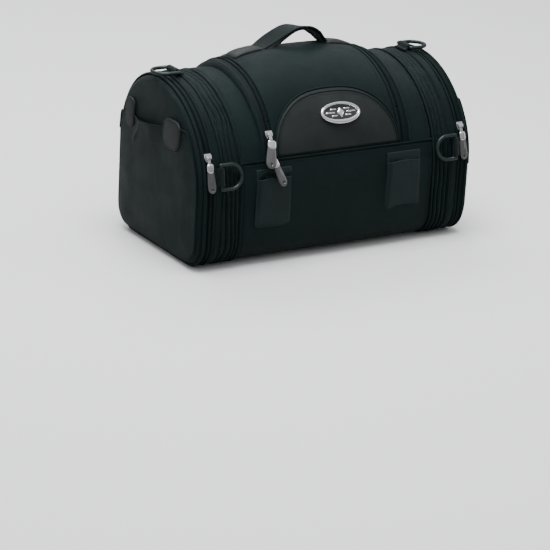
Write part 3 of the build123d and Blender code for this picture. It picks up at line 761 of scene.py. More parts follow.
def tape(xs, start, end, count):
    return sheet("tape", xs, np.linspace(start, end, count), tape_height, TAPE)


SLIT = 0.6 * MM
TAPE_END_S = BACK_TOP_S + 0.5 * MM
LID_TAPE_END_S = BACK_ZIP_S - 0.8 * MM
parts = []
for _, sign in SIDES:
    parts.append(tape(stations(sign, ZIP_X + SLIT, ZIP_EDGE_X, 9), SEAM_S, TAPE_END_S, 170))
    parts.append(tape(stations(sign, LID_X + 0.4 * MM, ZIP_X - SLIT, 7), SEAM_S, PARK_S, 60))
parts.append(tape(np.linspace(-ZIP_X - SLIT, ZIP_X + SLIT, 90), BACK_ZIP_S + 0.8 * MM, TAPE_END_S, 9))
wear(thicken(join("body_zip_tape_cloth", parts), 0.9 * MM), "main_bag", ["body_zip_tape"])

parts = [tape(stations(sign, LID_X - 1 * MM, ZIP_X - SLIT, 8), PARK_S + 1 * MM, LID_TAPE_END_S, 150)
         for _, sign in SIDES]
parts.append(tape(np.linspace(-ZIP_X + 1 * MM, ZIP_X - 1 * MM, 90), LID_BACK_S - 1 * MM, LID_TAPE_END_S, 8))
wear(thicken(join("lid_zip_tape_cloth", parts), 0.9 * MM), "lid", ["lid_zip_tape"])


def coil_row(x, start, end, way, late, lift=None):
    """Teeth of one tape at station x, reaching over the middle of the zip."""
    points, normals, _ = ring_path(x, -0.3 * MM, 400, start, end, lift)
    return teeth(points, normals, way, late)


back_zip = cross_path(BACK_ZIP_S, -0.3 * MM, -ZIP_X, ZIP_X, 200)
parts = []
for _, sign in SIDES:
    parts.append(coil_row(sign * ZIP_X, SEAM_S, BACK_ZIP_S, -sign, 0.0, raised))
    parts.append(coil_row(sign * ZIP_X, SEAM_S, PARK_S, sign, 0.5, raised))
wear(join("body_zip_coil", parts + [teeth(*back_zip, -1)]), "main_bag")
parts = [coil_row(sign * ZIP_X, PARK_S, BACK_ZIP_S, sign, 0.5, raised) for _, sign in SIDES]
wear(join("lid_zip_coil", parts + [teeth(*back_zip, 1, 0.5)]), "lid")

# ---------------------------------------------------------------- lid
LID_S0 = front_s(HINGE_Z) + 0.6 * MM
EDGE_ROLL = 8 * MM
LID_PUFF = 8 * MM
EDGE_DROP = 1.6 * MM


def lid_surface(x, s):
    """Height of the lid's cloth above the outline at any station: crowned, rolled at its rim."""
    side = np.abs(x)
    rim = np.clip((side - (LID_X - EDGE_ROLL)) / EDGE_ROLL, 0, 1)
    full = lid_height(s)
    end = np.minimum(s - LID_S0, LID_BACK_S - s)
    crown = 2.6 * MM * (1 - (side / LID_X) ** 2) * step(end, 0, 60 * MM)
    crown = crown + LID_PUFF * (1 - (side / LID_X) ** 5) * step(end, 30 * MM, 125 * MM)
    soft = lumps(x, s, 70 * MM, 41) * 1.0 * MM + lumps(x, s, 28 * MM, 42) * 0.25 * MM
    top = full + crown + soft * step(end, 0, 30 * MM) * step(LID_X - side, 0, 20 * MM)
    foot = full - EDGE_DROP
    pucker = lumps(x, s, 10 * MM, 43) * 0.35 * MM * rim
    return foot + (top - foot) * np.sqrt(np.maximum(1 - rim**2.6, 0)) + pucker * (1 - rim)


def on_lid(x, s, h):
    return place(x, s, lid_surface(x, s) + h)


inner = np.linspace(-LID_X + EDGE_ROLL, LID_X - EDGE_ROLL, 70)
rim_x = LID_X - EDGE_ROLL + EDGE_ROLL * np.sin(np.linspace(0, math.pi / 2, 14))[1:]
xs = np.concatenate([-rim_x[::-1], inner, rim_x])
x, s = cross(xs, np.linspace(LID_S0, LID_BACK_S, 150))
lid_skin = grid("lid_skin", place(x, s, lid_surface(x, s)), uv(x, s), NYLON)
wear(thicken(lid_skin, 1.6 * MM), "lid", ["lid_panel"])


def lid_stitches(x, s):
    return stitches(on_lid(x, s, 0.1 * MM), outward(s))


cords, rows, skirts = [], [], []
for _, sign in SIDES:
    cords.append(ring_cord("cord", sign * (LID_X + 0.4 * MM), 0.1 * MM, 1.4 * MM,
                           LID_S0 + 4 * MM, LID_BACK_S, raised))
    s, share = cross(np.linspace(LID_S0, LID_BACK_S, 150), np.linspace(0, 1, 8))
    h = -1.8 * MM + share * (lid_height(s) + 0.8 * MM)
    x = sign * (LID_X - 0.4 * MM - 0.8 * MM * np.sin(math.pi * share))
    skirts.append(grid("skirt", place(x, s, h), uv(s, h), NYLON, flip=sign < 0))
    s = np.linspace(LID_S0 + 4 * MM, LID_BACK_S - 3 * MM, 300)
    rows.append(lid_stitches(np.full_like(s, sign * (LID_X - EDGE_ROLL - 1.5 * MM)), s))
cords.append(cross_cord("cord", LID_BACK_S, 0.8 * MM, LID_X, 1.4 * MM))
wear(join("lid_edge_piping", cords), "lid")
wear(thicken(join("lid_side_wall", skirts), 0.8 * MM), "lid")
x = np.linspace(-LID_X + 8 * MM, LID_X - 8 * MM, 120)
rows.append(lid_stitches(x, np.full_like(x, LID_BACK_S - 6 * MM)))
wear(join("lid_stitching", rows), "lid")

# Seam flap: the cloth at the lid's hinge
HINGE_S = front_s(HINGE_Z)
flap = cloth("hinge_flap", np.linspace(-LID_X + 1 * MM, LID_X - 1 * MM, 60),
             np.linspace(SEAM_S - 1 * MM, HINGE_S + 4 * MM, 14), level(-0.9 * MM), NYLON, 0.9 * MM)
place(0.0, HINGE_S - 1.5 * MM, 0.0)
place(0.0, HINGE_S + 2 * MM, 0.0)
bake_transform(flap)

# Half-oval leatherette patch
PATCH_HALF = LID_X + 0.6 * MM
PATCH_RISE = high("lid_patch").z - HINGE_Z - 4 * MM
FOOT_RISE = 2.5 * MM


def patch_edge(grow, count=120):
    """Half oval with rounded foot corners, in x and arc length."""
    turn = np.linspace(0, math.pi, count)
    x = (PATCH_HALF + grow) * squared(np.cos(turn), 0.72)
    z = HINGE_Z + FOOT_RISE + (PATCH_RISE - FOOT_RISE + grow) * np.sin(turn) ** 0.9
    edge = np.stack([x, lid_front_s(z)], 1)
    foot_x = np.linspace(edge[-1, 0], edge[0, 0], 60)[1:-1]
    foot = np.stack([foot_x, np.full_like(foot_x, edge[0, 1])], 1)
    return np.concatenate([edge, foot])


patch = pillow("lid_patch_leather", patch_edge(-0.5 * MM), on_lid, cushion(0.93, 1.5 * MM, 1.4 * MM), LEATHER)
wear(patch, "lid", ["lid_patch"])


def round_patch(inset, h, count=120):
    """Path along the patch's round edge, with the lid's normals."""
    edge = patch_edge(-inset, count)[:count]
    return on_lid(edge[:, 0], edge[:, 1], h), outward(edge[:, 1])


cords = [tube("cord", *round_patch(0.0, 1.0 * MM), 1.35 * MM),
         tube("cord", *round_patch(4.2 * MM, 1.9 * MM), 0.8 * MM)]
wear(join("lid_patch_piping", cords), "lid")
wear(stitches(*round_patch(6.8 * MM, 2.2 * MM), FINE_THREAD, "lid_patch_stitching"), "lid")

# Badge: oval rim heavier at its lower edge, domed face, plain raised motif
BADGE_LO, BADGE_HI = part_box("badge_rim")
BADGE_X = (BADGE_LO.x + BADGE_HI.x) / 2
BADGE_S = float(lid_front_s((BADGE_LO.z + BADGE_HI.z) / 2 - 1 * MM))
BADGE_A = (BADGE_HI.x - BADGE_LO.x) / 2
BADGE_OUT = outward(BADGE_S)
BADGE_UP = np.array([0.0, BADGE_OUT[2], -BADGE_OUT[1]])
BADGE_MID = on_lid(BADGE_X, BADGE_S, 3.0 * MM)
BADGE_B = math.hypot(BADGE_HI.z - BADGE_LO.z, BADGE_HI.y - BADGE_LO.y) / 2 - 1 * MM


def on_badge(u, v, h):
    u, v, h = np.broadcast_arrays(u, v, h)
    return (BADGE_MID + u[..., None] * np.array([1.0, 0, 0]) + v[..., None] * BADGE_UP
            + h[..., None] * BADGE_OUT)


turn = turns(96)
t, r = cross(turn, turns(16))
heavy = 2.5 * MM + 0.9 * MM * np.clip(-np.sin(t), 0, 1)
u = (BADGE_A - 2.4 * MM + heavy * np.cos(r) * 0.9) * np.cos(t)
v = (BADGE_B - 2.9 * MM + heavy * np.cos(r) * 0.95) * np.sin(t)
points = looped(on_badge(u, v, np.maximum(heavy * np.sin(r) * 0.85, -1.5 * MM)))
rim = grid("badge_rim_plate", points, np.zeros(points.shape[:2] + (2,)), CHROME, wrap=True)
wear(rim, "lid", ["badge_rim"])
face_edge = uv((BADGE_A - 3.4 * MM) * np.cos(turn), (BADGE_B - 3.9 * MM) * np.sin(turn))
face = pillow("badge_face_plate", face_edge, on_badge, lambda out, u, v: 1.0 * MM * (1 - out**2), GLOSS)
wear(face, "lid", ["badge_face"])


def figure(outline, rise):
    """Thin raised figure with a sloped edge."""
    return pillow("mark", outline, on_badge, cushion(0.6, rise), CHROME, rings=3)


corners = np.array([(0, -7.4), (6.2, 0), (0, 7.4), (-6.2, 0)]) * MM
diamond = [a * (1 - t) + b * t for a, b in zip(corners, np.roll(corners, -1, 0))
           for t in np.linspace(0, 1, 6)[:-1]]
marks = [figure(diamond, 1.9 * MM)]
for sign in (-1, 1):
    for rise, start, length in ((4.6, 5.5, 10.0), (0.0, 8.6, 15.0), (-4.6, 5.5, 10.0)):
        middle = (sign * (start + length / 2) * MM, rise * MM)
        marks.append(figure(rounded(length / 2 * MM, 1.15 * MM, 1.0 * MM, middle, 5, 6), 1.8 * MM))
wear(join("badge_motif", marks), "lid")

# ---------------------------------------------------------------- handle
HANDLE_Y = JOINT["handle_flop"]["pos_m"][1]
PADS_LO, PADS_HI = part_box("handle_pads")
PAD_IN = min(abs(v.co.x) for v in NODES["handle_pads"].data.vertices)
PAD_OUT = PADS_HI.x
PAD_HALF = (PADS_HI.y - PADS_LO.y) / 2


def on_top(x, y, h):
    """Point on the lid near its top, from x and y."""
    table = np.linspace(LID_S0, LID_BACK_S, 600)
    ys = at(table)[0] + at(table)[2] * lid_height(table)
    s = np.interp(y, ys, table)
    return on_lid(x, s, h)


pads, rows = [], []
for side, sign in SIDES:
    middle = (sign * (PAD_IN + PAD_OUT) / 2, HANDLE_Y)
    half = (PAD_OUT - PAD_IN) / 2
    edge = rounded(half, PAD_HALF, 5 * MM, middle)
    pads.append(pillow("pad", edge, on_top, cushion(0.9, 2.3 * MM, 1.4 * MM), LEATHER))
    loop = looped(rounded(half - 3 * MM, PAD_HALF - 3 * MM, 3.5 * MM, middle))
    points = on_top(loop[:, 0], loop[:, 1], 3.0 * MM)
    rows.append(stitches(points, [0.0, 0.0, 1.0], SMALL_THREAD))
wear(join("handle_pad_leather", pads), "lid", ["handle_pads"])
wear(join("handle_pad_stitching", rows), "lid")


def smooth_path(knots, count):
    """Catmull-Rom curve through the knots."""
    k = np.asarray(knots, float)
    k = np.concatenate([[2 * k[0] - k[1]], k, [2 * k[-1] - k[-2]]])
    where = np.linspace(0, len(k) - 3 - 1e-6, count)
    i = where.astype(int)
    t = (where - i)[:, None]
    a, b, c, d = k[i], k[i + 1], k[i + 2], k[i + 3]
    return 0.5 * (2 * b + (c - a) * t + (2 * a - 5 * b + 4 * c - d) * t**2 + (3 * b - a - 3 * c + d) * t**3)


def strap(name, path, across, width, thick, steps=13):
    """Webbing along a path: across is its width direction, one for all points or one for each."""
    path = np.asarray(path)
    across = np.broadcast_to(across, path.shape)
    ahead = along(path)
    out = np.cross(ahead, across)
    ring = rounded(width / 2, thick / 2, thick * 0.45, per_corner=5, per_side=steps)
    spread = path[:, None] + ring[None, :, :1] * across[:, None] + ring[None, :, 1:] * out[:, None]
    u, v = cross(run_along(path), ring[:, 0] + ring[:, 1])
    body = grid(name, spread, uv(v, u), WEBBING, wrap=True)
    count = len(ring)
    mesh = body.data
    bm = bmesh.new()
    bm.from_mesh(mesh)
    bm.verts.ensure_lookup_table()
    for start in (0, (len(path) - 1) * count):
        bm.faces.new([bm.verts[start + k] for k in range(count)])
    bmesh.ops.recalc_face_normals(bm, faces=bm.faces)
    bm.to_mesh(mesh)
    bm.free()
    return body


PEAK_Z = high("handle_strap").z
BASE_Z = LID_TOP_Z + LID_PUFF - 1 * MM
rise = (PEAK_Z - BASE_Z) * 0.82
knots = [(-66, 0.05), (-55, 0.07), (-45, 0.24), (-31, 0.52), (-11, 0.87), (5, 0.985), (24, 0.88), (38, 0.60),
         (47, 0.27), (54, 0.07), (66, 0.05)]
path = smooth_path([(x * MM, HANDLE_Y, BASE_Z + share * rise) for x, share in knots], 110)
turned = np.linspace(0, math.pi, len(path))
lean = np.radians(34) * np.sin(2 * turned) * np.sin(turned)
ahead = along(path)
across = np.stack([0 * lean, np.cos(lean), np.sin(lean)], 1)
across -= ahead * np.sum(across * ahead, 1, keepdims=True)
across /= np.linalg.norm(across, axis=1, keepdims=True)
outer = strap("webbing", path, across, 22 * MM, 2.4 * MM)
knots = [(-64, 0.02), (-46, 0.03), (-30, 0.14), (-14, 0.5), (0, 0.8), (12, 0.9), (26, 0.81),
         (38, 0.54), (46, 0.18), (56, 0.03)]
path2 = smooth_path([(x * MM, HANDLE_Y - 1 * MM, BASE_Z + share * rise) for x, share in knots], 90)
inner = strap("webbing", path2, [0, 1, 0], 18 * MM, 1.8 * MM)
handle = join("handle_webbing", [outer, inner])
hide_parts("handle_strap")
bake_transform(handle)

# ---------------------------------------------------------------- strap sleeves
SLEEVE_LO, SLEEVE_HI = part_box("strap_sleeves")
SLEEVE_HALF = 28 * MM
SLEEVE_X = SLEEVE_HI.x - SLEEVE_HALF
SLEEVE_TAPER = 1.5 * MM
SLEEVE_CORNER = 7 * MM
SLEEVE_FOOT = front_s(SLEEVE_LO.z)
SLEEVE_TALL = SLEEVE_HI.z - SLEEVE_LO.z
for side, sign in SIDES:
    middle = sign * SLEEVE_X
    u, v = cross(np.linspace(-1, 1, 61), np.linspace(0, 1, 56))
    s = SLEEVE_FOOT + v * SLEEVE_TALL
    below = np.clip(SLEEVE_CORNER - v * SLEEVE_TALL, 0, SLEEVE_CORNER)
    cut = SLEEVE_CORNER - np.sqrt(np.maximum(SLEEVE_CORNER**2 - below**2, 0))
    x = middle + u * (SLEEVE_HALF - cut - SLEEVE_TAPER * v)
    border = step(1 - np.abs(u), 0.03, 0.20)
    crown = (2.4 * MM + 2.8 * MM * v**1.5) * border * step(v, 0, 0.12)
    soft = lumps(x + 5, s, 22 * MM, 60 + sign) * 0.6 * MM + lumps(x, s, 60 * MM, 62 + sign) * 0.8 * MM
    crease = -0.35 * MM * np.exp(-((u - 0.28 * sign - 0.1 * np.sin(4 * v)) / 0.08) ** 2) * step(v, 0.3, 0.9)
    h = 1.1 * MM + crown + (soft + crease) * border
    # The front's top edge sags a little between its corners
    s = SLEEVE_FOOT + SLEEVE_TALL * v * (0.915 - 0.03 * u**2)
    front = thicken(grid(f"sleeve_{side}", place(x, s, h), uv(x, s), SLEEVE), 1.1 * MM)
    u, v = cross(np.linspace(-1, 1, 21), np.linspace(0, 1, 56))
    x = middle + u * (SLEEVE_HALF - SLEEVE_TAPER)
    points = place(x, SLEEVE_FOOT + 3 * MM + v * (SLEEVE_TALL + 2 * MM), 0.9 * MM)
    back = thicken(grid(f"sleeve_back_{side}", points, uv(x, v * SLEEVE_TALL), SLEEVE), 0.8 * MM)
    t = np.linspace(0.06, 0.97, 60)
    seams = [place(middle + edge * (SLEEVE_HALF - SLEEVE_TAPER * t), SLEEVE_FOOT + t * SLEEVE_TALL, 1.5 * MM)
             for edge in (-0.9, 0.9)]
    t = np.linspace(-0.86, 0.86, 60)
    seams.append(place(middle + t * SLEEVE_HALF, SLEEVE_FOOT + 3.2 * MM, 1.7 * MM))
    rows = [stitches(points, [0.0, -1.0, 0.0], SMALL_THREAD) for points in seams]
    wear(join(f"sleeve_stitching_{side}", rows), "main_bag")
    wear(front, "main_bag", ["strap_sleeves"])
    wear(back, "main_bag")
    climb = np.linspace(SLEEVE_FOOT + 0.55 * SLEEVE_TALL, front_s(SLEEVE_HI.z) - 5 * MM, 30)
    path = place(sign * (SLEEVE_X + 2 * MM), climb, 2.7 * MM)
    wear(strap(f"sleeve_strap_{side}", path, [1, 0, 0], 25 * MM, 1.3 * MM), "main_bag")

# ---------------------------------------------------------------- rear straps
STRAP_LO, STRAP_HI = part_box("rear_straps")
REAR_HALF = 12.5 * MM
REAR_X = STRAP_HI.x - REAR_HALF
parts, rows = [], []
for _, sign in SIDES:
    z = np.linspace(STRAP_LO.z, STRAP_HI.z, 60)
    wave = 0.5 * MM * np.sin(z * 90 + sign)
    path = np.stack([np.full_like(z, sign * REAR_X), BACK_Y + 2.3 * MM + wave, z], 1)
    parts.append(strap("strap", path, [1, 0, 0], 2 * REAR_HALF, 1.8 * MM))
    for middle in (STRAP_LO.z + 10 * MM, STRAP_HI.z - 10 * MM):
        loop = looped(rounded(REAR_HALF - 3 * MM, 7 * MM, 0.5 * MM, (sign * REAR_X, middle), 3, 12))
        points = np.stack([loop[:, 0], np.full(len(loop), BACK_Y + 3.5 * MM), loop[:, 1]], 1)
        rows.append(stitches(points, [0.0, 1.0, 0.0], STRAP_THREAD))
wear(join("rear_strap_webbing", parts), "main_bag", ["rear_straps"])
wear(join("rear_strap_stitching", rows), "main_bag")


# ---------------------------------------------------------------- ends
def end_depth(y, z):
    """Distance of a point of the end panel from the outline."""
    y, z = np.broadcast_arrays(np.asarray(y, float), np.asarray(z, float))
    depth = np.minimum(np.minimum(y - FRONT_Y, BACK_Y - y), z)
    corners = (
        ((y < TOP_Y) & (z > ARC_Z), TOP_Y, ARC_Z, FRONT_R),
        ((y >= TOP_Y) & (z > BACK_ARC_Z), TOP_Y, BACK_ARC_Z, BACK_R),
        ((y < LOW_FRONT_Y) & (z < LOW_FRONT_R), LOW_FRONT_Y, LOW_FRONT_R, LOW_FRONT_R),
        ((y > LOW_BACK_Y) & (z < LOW_BACK_R), LOW_BACK_Y, LOW_BACK_R, LOW_BACK_R),
    )
    for where, cy, cz, radius in corners:
        round_depth = radius - np.hypot(y - cy, z - cz)
        depth = np.where(where, np.minimum(depth, round_depth), depth)
    return depth


ROLL_R = 8 * MM
RIM_INSET = 1.6 * MM


def end_x(y, z, seed=0):
    """Station of the padded end panel's surface, for the right side."""
    depth = np.maximum(end_depth(y, z) - RIM_INSET, 0)
    roll = np.clip(depth / ROLL_R, 0, 1)
    edge = (PANEL_X1 - PANEL_X0) * np.sqrt(1 - (1 - roll) ** 2)
    crown = 3.0 * MM * (1 - np.exp(-depth / (30 * MM)))
    soft = lumps(y + 3, z, 70 * MM, 71 + seed) * 1.1 * MM + lumps(y, z, 30 * MM, 72 + seed) * 0.16 * MM
    return PANEL_X0 + edge + crown + soft * step(depth, 0, 20 * MM)


MIDDLE_Y, MIDDLE_Z = 0.0, TOP_Z / 2
POCKET_INSET = 7 * MM
POCKET_CREASE = 52 * MM, 146 * MM
PATCH_LO, PATCH_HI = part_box("pocket_patches_right")
POCKET_TOP = high("end_pocket_right").z


def mouth_z(y):
    """Height of the pocket's mouth: higher at the front, sagging towards the back patch."""
    share = np.clip((y - PATCH_LO.y) / (PATCH_HI.y - PATCH_LO.y), 0, 1)
    line = POCKET_TOP + 5 * MM - 17 * MM * share
    return line - 4 * MM * np.sin(math.pi * share) ** 2


def pocket_arc(y, centre_y, centre_z, radius, way):
    """Upper or lower half of an outline arc, drawn in to where the pocket is sewn."""
    inner = (radius - POCKET_INSET) ** 2 - (y - centre_y) ** 2
    return centre_z + way * np.sqrt(np.maximum(inner, 0))


LOOP_R = 3.7 * MM
GUSSET_X0, GUSSET_X1 = BODY_X + 1.6 * MM, BAND_X0 + 0.8 * MM

for side, sign in SIDES:
    end, door, pleat = f"end_{side}", f"door_{side}", f"pleat_{side}"
    seed = 100 if sign < 0 else 200

    def fold_height(x, s):
        share = (np.abs(x) - GUSSET_X0) / (GUSSET_X1 - GUSSET_X0)
        low_down = step(-at(s)[1], -0.15, -0.02)
        drift = 0.16 * lumps(0 * x, s, 60 * MM, seed + 1) + 0.07 * lumps(x, s, 30 * MM, seed + 2)
        phase = 2 * math.pi * 4 * (share + drift * np.sin(math.pi * share))
        depth = (1.5 + 0.5 * lumps(0 * x + 3, s, 45 * MM, seed + 3) + 0.5 * low_down) * MM
        ripple = np.abs(np.cos(phase / 2)) ** 0.8 * 2 - 1
        sag = 2.2 * MM * low_down * np.sin(math.pi * share) * (0.6 + 0.6 * lumps(x, s, 50 * MM, seed + 4))
        fine = lumps(x, s, 9 * MM, seed + 5) * 0.35 * MM
        ends = np.minimum(step(share, 0, 0.05), step(1 - share, 0, 0.05))
        return (ripple * depth + sag + fine) * ends - 0.5 * MM

    bellows = cloth(f"gusset_folds_{side}", stations(sign, GUSSET_X0, GUSSET_X1, 57), around(),
                    fold_height, FOLDED, 0.8 * MM, wrap=True)
    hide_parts(f"gusset_{side}")
    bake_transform(bellows)
    for kind, body, depth, more in (("middle", pleat, 3.3 * MM, 8), ("inner", end, 5.0 * MM, 9)):
        lo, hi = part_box(f"{kind}_pleat_{side}")
        ring = cloth(f"{kind}_pleat_cloth_{side}", np.linspace(lo.x, hi.x, 14), around(300),
                     lambda x, s: 0.35 * MM * lumps(x, s, 14 * MM, seed + more) - depth,
                     FOLDED, 0.7 * MM, wrap=True)
        wear(ring, body, [f"{kind}_pleat_{side}"])

    band = cloth(f"end_band_cloth_{side}", stations(sign, BAND_X0, BAND_X1, 13), around(),
                 band_height(BAND_X0, BAND_X1, 1.0 * MM, seed + 10), BAND, 1.6 * MM, wrap=True)
    wear(band, end, [f"end_band_{side}"])
    cords = [ring_cord("cord", sign * (BAND_X0 + 0.9 * MM), 0.8 * MM, 1.5 * MM),
             ring_cord("cord", sign * (BAND_X1 - 0.2 * MM), 0.6 * MM, 1.4 * MM)]
    wear(join(f"end_band_piping_{side}", cords), end)
    rows = [ring_stitches(sign * x, 0.9 * MM) for x in (BAND_X0 + 4 * MM, BAND_X1 - 3.4 * MM)]
    wear(join(f"end_band_stitching_{side}", rows), end)

    for kind, body, near, far, way, late in (
            ("end", end, BAND_X1, END_ZIP_X - SLIT, -sign, 0.0),
            ("panel", door, END_ZIP_X + SLIT, PANEL_X0 + 0.2 * MM, sign, 0.5)):
        strip = cloth(f"{kind}_zip_cloth_{side}", stations(sign, near, far, 7), around(300),
                      end_tape, TAPE, 0.9 * MM, wrap=True)
        wear(strip, body, [f"{kind}_zip_tape_{side}"])
        coil = coil_row(sign * END_ZIP_X, LOW_FRONT_S, LOW_BACK_S, way, late)
        coil.name = f"{kind}_zip_coil_{side}"
        wear(coil, body)

    cord = ring_cord(f"end_piping_cord_{side}", sign * (PANEL_X0 + 1.4 * MM), 0.1 * MM, 1.9 * MM)
    wear(cord, door, [f"end_piping_{side}"])

    edge_y, edge_z, ny, nz = at(around(360))
    rolled = np.sin(np.linspace(0.02, 1, 22) * math.pi / 2)
    out = np.concatenate([np.linspace(0, 0.84, 34), 1 - 0.16 * (1 - rolled)])[:, None]
    y = MIDDLE_Y + out * (edge_y - ny * RIM_INSET - MIDDLE_Y)
    z = MIDDLE_Z + out * (edge_z - nz * RIM_INSET - MIDDLE_Z)
    x = sign * end_x(y, z, seed)
    face = grid(f"end_panel_cloth_{side}", np.stack([x, y, z], -1), uv(y, z), NYLON, wrap=True, flip=sign < 0)
    back = grid("panel_back", np.stack([np.full_like(y, sign * (PANEL_X0 + 0.3 * MM)), y, z], -1),
                uv(y, z), LINING, wrap=True, flip=sign > 0)
    wear(join(f"end_panel_cloth_{side}", [face, back]), door, [f"end_panel_{side}"])

    columns = np.linspace(FRONT_Y + POCKET_INSET, BACK_Y - POCKET_INSET, 120)
    foot = np.select(
        [columns < LOW_FRONT_Y, columns > LOW_BACK_Y],
        [pocket_arc(columns, LOW_FRONT_Y, LOW_FRONT_R, LOW_FRONT_R, -1),
         pocket_arc(columns, LOW_BACK_Y, LOW_BACK_R, LOW_BACK_R, -1)], POCKET_INSET)
    roof = np.where(columns < TOP_Y, pocket_arc(columns, TOP_Y, ARC_Z, FRONT_R, 1),
                    pocket_arc(columns, TOP_Y, BACK_ARC_Z, BACK_R, 1))
    mouth = np.minimum(mouth_z(columns), roof)
    y, t = cross(columns, np.linspace(0, 1, 100) ** 0.8)
    z = foot[:, None] + t * (mouth - foot)[:, None]
    below = mouth[:, None] - z
    open_y = step(y, -22 * MM, 20 * MM) * step(-y, -66 * MM, -36 * MM)
    gape = 6.5 * MM * open_y * np.exp(-below / (20 * MM))
    crease_y, crease_z = y - POCKET_CREASE[0], z - POCKET_CREASE[1]
    ridge = 1.6 * MM * np.exp(-((crease_y * 0.8 + crease_z * 0.6) / (3.5 * MM)) ** 2)
    ridge = ridge * step(-np.hypot(crease_y, crease_z), -26 * MM, -8 * MM)
    bag = 1.6 * MM * step(below, 0, 70 * MM) * step(end_depth(y, z), 8 * MM, 45 * MM)
    x = end_x(y, z, seed) + 1.3 * MM + gape + ridge + bag
    pocket = grid(f"end_pocket_cloth_{side}", np.stack([sign * x, y, z], -1), uv(y, z), NYLON, flip=sign < 0)
    wear(thicken(pocket, 1.2 * MM), door, [f"end_pocket_{side}"])
    top = np.stack([sign * (x[:, -1] + 0.2 * MM), y[:, -1], z[:, -1]], 1)
    wear(tube(f"pocket_hem_{side}", top, [sign, 0, 0], 1.1 * MM), door)

    def on_end(u, v, h):
        return np.stack([sign * (end_x(u, v, seed) + 2.2 * MM + h), u, v], -1)

    patches, rows = [], []
    for u0, u1 in ((PATCH_LO.y, PATCH_LO.y + 44 * MM), (PATCH_HI.y - 29 * MM, PATCH_HI.y - 4 * MM)):
        half, half_z = (u1 - u0) / 2, (PATCH_HI.z - PATCH_LO.z) / 2
        middle = (u0 + u1) / 2, (PATCH_LO.z + PATCH_HI.z) / 2
        corner = min(15 * MM, half - 1 * MM)
        patches.append(pillow("patch", rounded(half, half_z, corner, middle), on_end,
                              cushion(0.92, 1.5 * MM, 0.8 * MM), LEATHER, flip=sign < 0))
        loop = looped(rounded(half - 2.6 * MM, half_z - 2.6 * MM, corner - 2.2 * MM, middle))
        rows.append(stitches(on_end(loop[:, 0], loop[:, 1], 1.8 * MM), [sign, 0, 0], FINE_THREAD))
    wear(join(f"pocket_patch_leather_{side}", patches), door, [f"pocket_patches_{side}"])
    wear(join(f"pocket_patch_stitching_{side}", rows), door)

    # Floor flap of the door: cloth at its hinge
    flap = cloth(f"door_flap_{side}", stations(sign, BAND_X1 + 1 * MM, PANEL_X0 + 4 * MM, 16),
                 np.linspace(LOW_BACK_S - LENGTH + 3 * MM, LOW_FRONT_S - 3 * MM, 50),
                 level(-1.1 * MM), NYLON, 0.8 * MM)
    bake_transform(flap)

    # Webbing tabs looped round the D-rings' bars
    tabs = []
    for place_name, reach in (("front", -sign), ("top", sign)):
        joint = JOINT[f"{side}_{place_name}_ring_flip"]
        bar = np.array(joint["pos_m"])
        climb = front_s(bar[2]) if place_name == "front" else TOP_S
        out_dir = outward(climb)
        side_dir = np.array([reach, 0.0, 0.0])
        rise = float(np.dot(bar - place(bar[0], climb, 0.0), out_dir))

        def by_bar(ahead, up):
            return bar + side_dir * ahead + out_dir * up

        path = [by_bar(-9 * MM, 2.6 * MM - rise), by_bar(-5 * MM, 3.4 * MM - rise)]
        for angle in np.radians(np.linspace(140, -150, 16)):
            path.append(by_bar(LOOP_R * math.cos(angle), LOOP_R * math.sin(angle)))
        path += [by_bar(-6 * MM, 1.3 * MM - rise), by_bar(-9 * MM, 1.2 * MM - rise)]
        tabs.append(strap("tab", smooth_path(path, 60), np.cross(side_dir, out_dir), 24 * MM, 1.3 * MM))
    wear(join(f"dring_tab_webbing_{side}", tabs), end, [f"dring_tabs_{side}"])

# ---------------------------------------------------------------- linings
LINING_DEPTH = 3.6 * MM
DIVIDER_X = 148 * MM
half = high("main_lining").x
lining = cloth("main_lining_cloth", np.linspace(-half, half, 90),
               np.linspace(BACK_TOP_S - LENGTH, SEAM_S - 1 * MM, 150),
               lambda x, s: 0.5 * MM * lumps(x, s, 30 * MM, 91) - LINING_DEPTH, LINING, 0.6 * MM)
wear(lining, "main_bag", ["main_lining"])
half = high("lid_lining").x


def lid_lining_height(x, s):
    soft = np.where(lid_height(s) > 3 * MM, 0.5 * MM * lumps(x, s, 30 * MM, 95), 0.2 * MM)
    return lid_height(s) - LINING_DEPTH + soft


lining = cloth("lid_lining_cloth", np.linspace(-half, half, 60),
               np.linspace(LID_S0 + 7 * MM, LID_BACK_S - 4 * MM, 90), lid_lining_height, LINING, 0.6 * MM)
wear(lining, "lid", ["lid_lining"])
parts = []
edge_y, edge_z, ny, nz = at(around(240))
out = np.linspace(0, 1, 40)[:, None]
y = out * (edge_y - ny * 4 * MM)
z = MIDDLE_Z + out * (edge_z - nz * 4 * MM - MIDDLE_Z)
for _, sign in SIDES:
    x = sign * DIVIDER_X + lumps(y, z, 50 * MM, 97 + sign) * 0.8 * MM * (1 - out**4)
    parts.append(thicken(grid("divider", np.stack([x, y, z], -1), uv(y, z), LINING, wrap=True), 1.0 * MM))
wear(join("divider_cloth", parts), "main_bag", ["dividers"])

# ---------------------------------------------------------------- hard parts kept from the CAD
def node_points(name):
    return np.array([v.co for v in NODES[name].data.vertices])


# Shares of a pull's length: where its round tip starts, its hole sits and its head ends
TIP_START, HOLE_AT, HEAD_END = 0.80, 0.86, 0.08


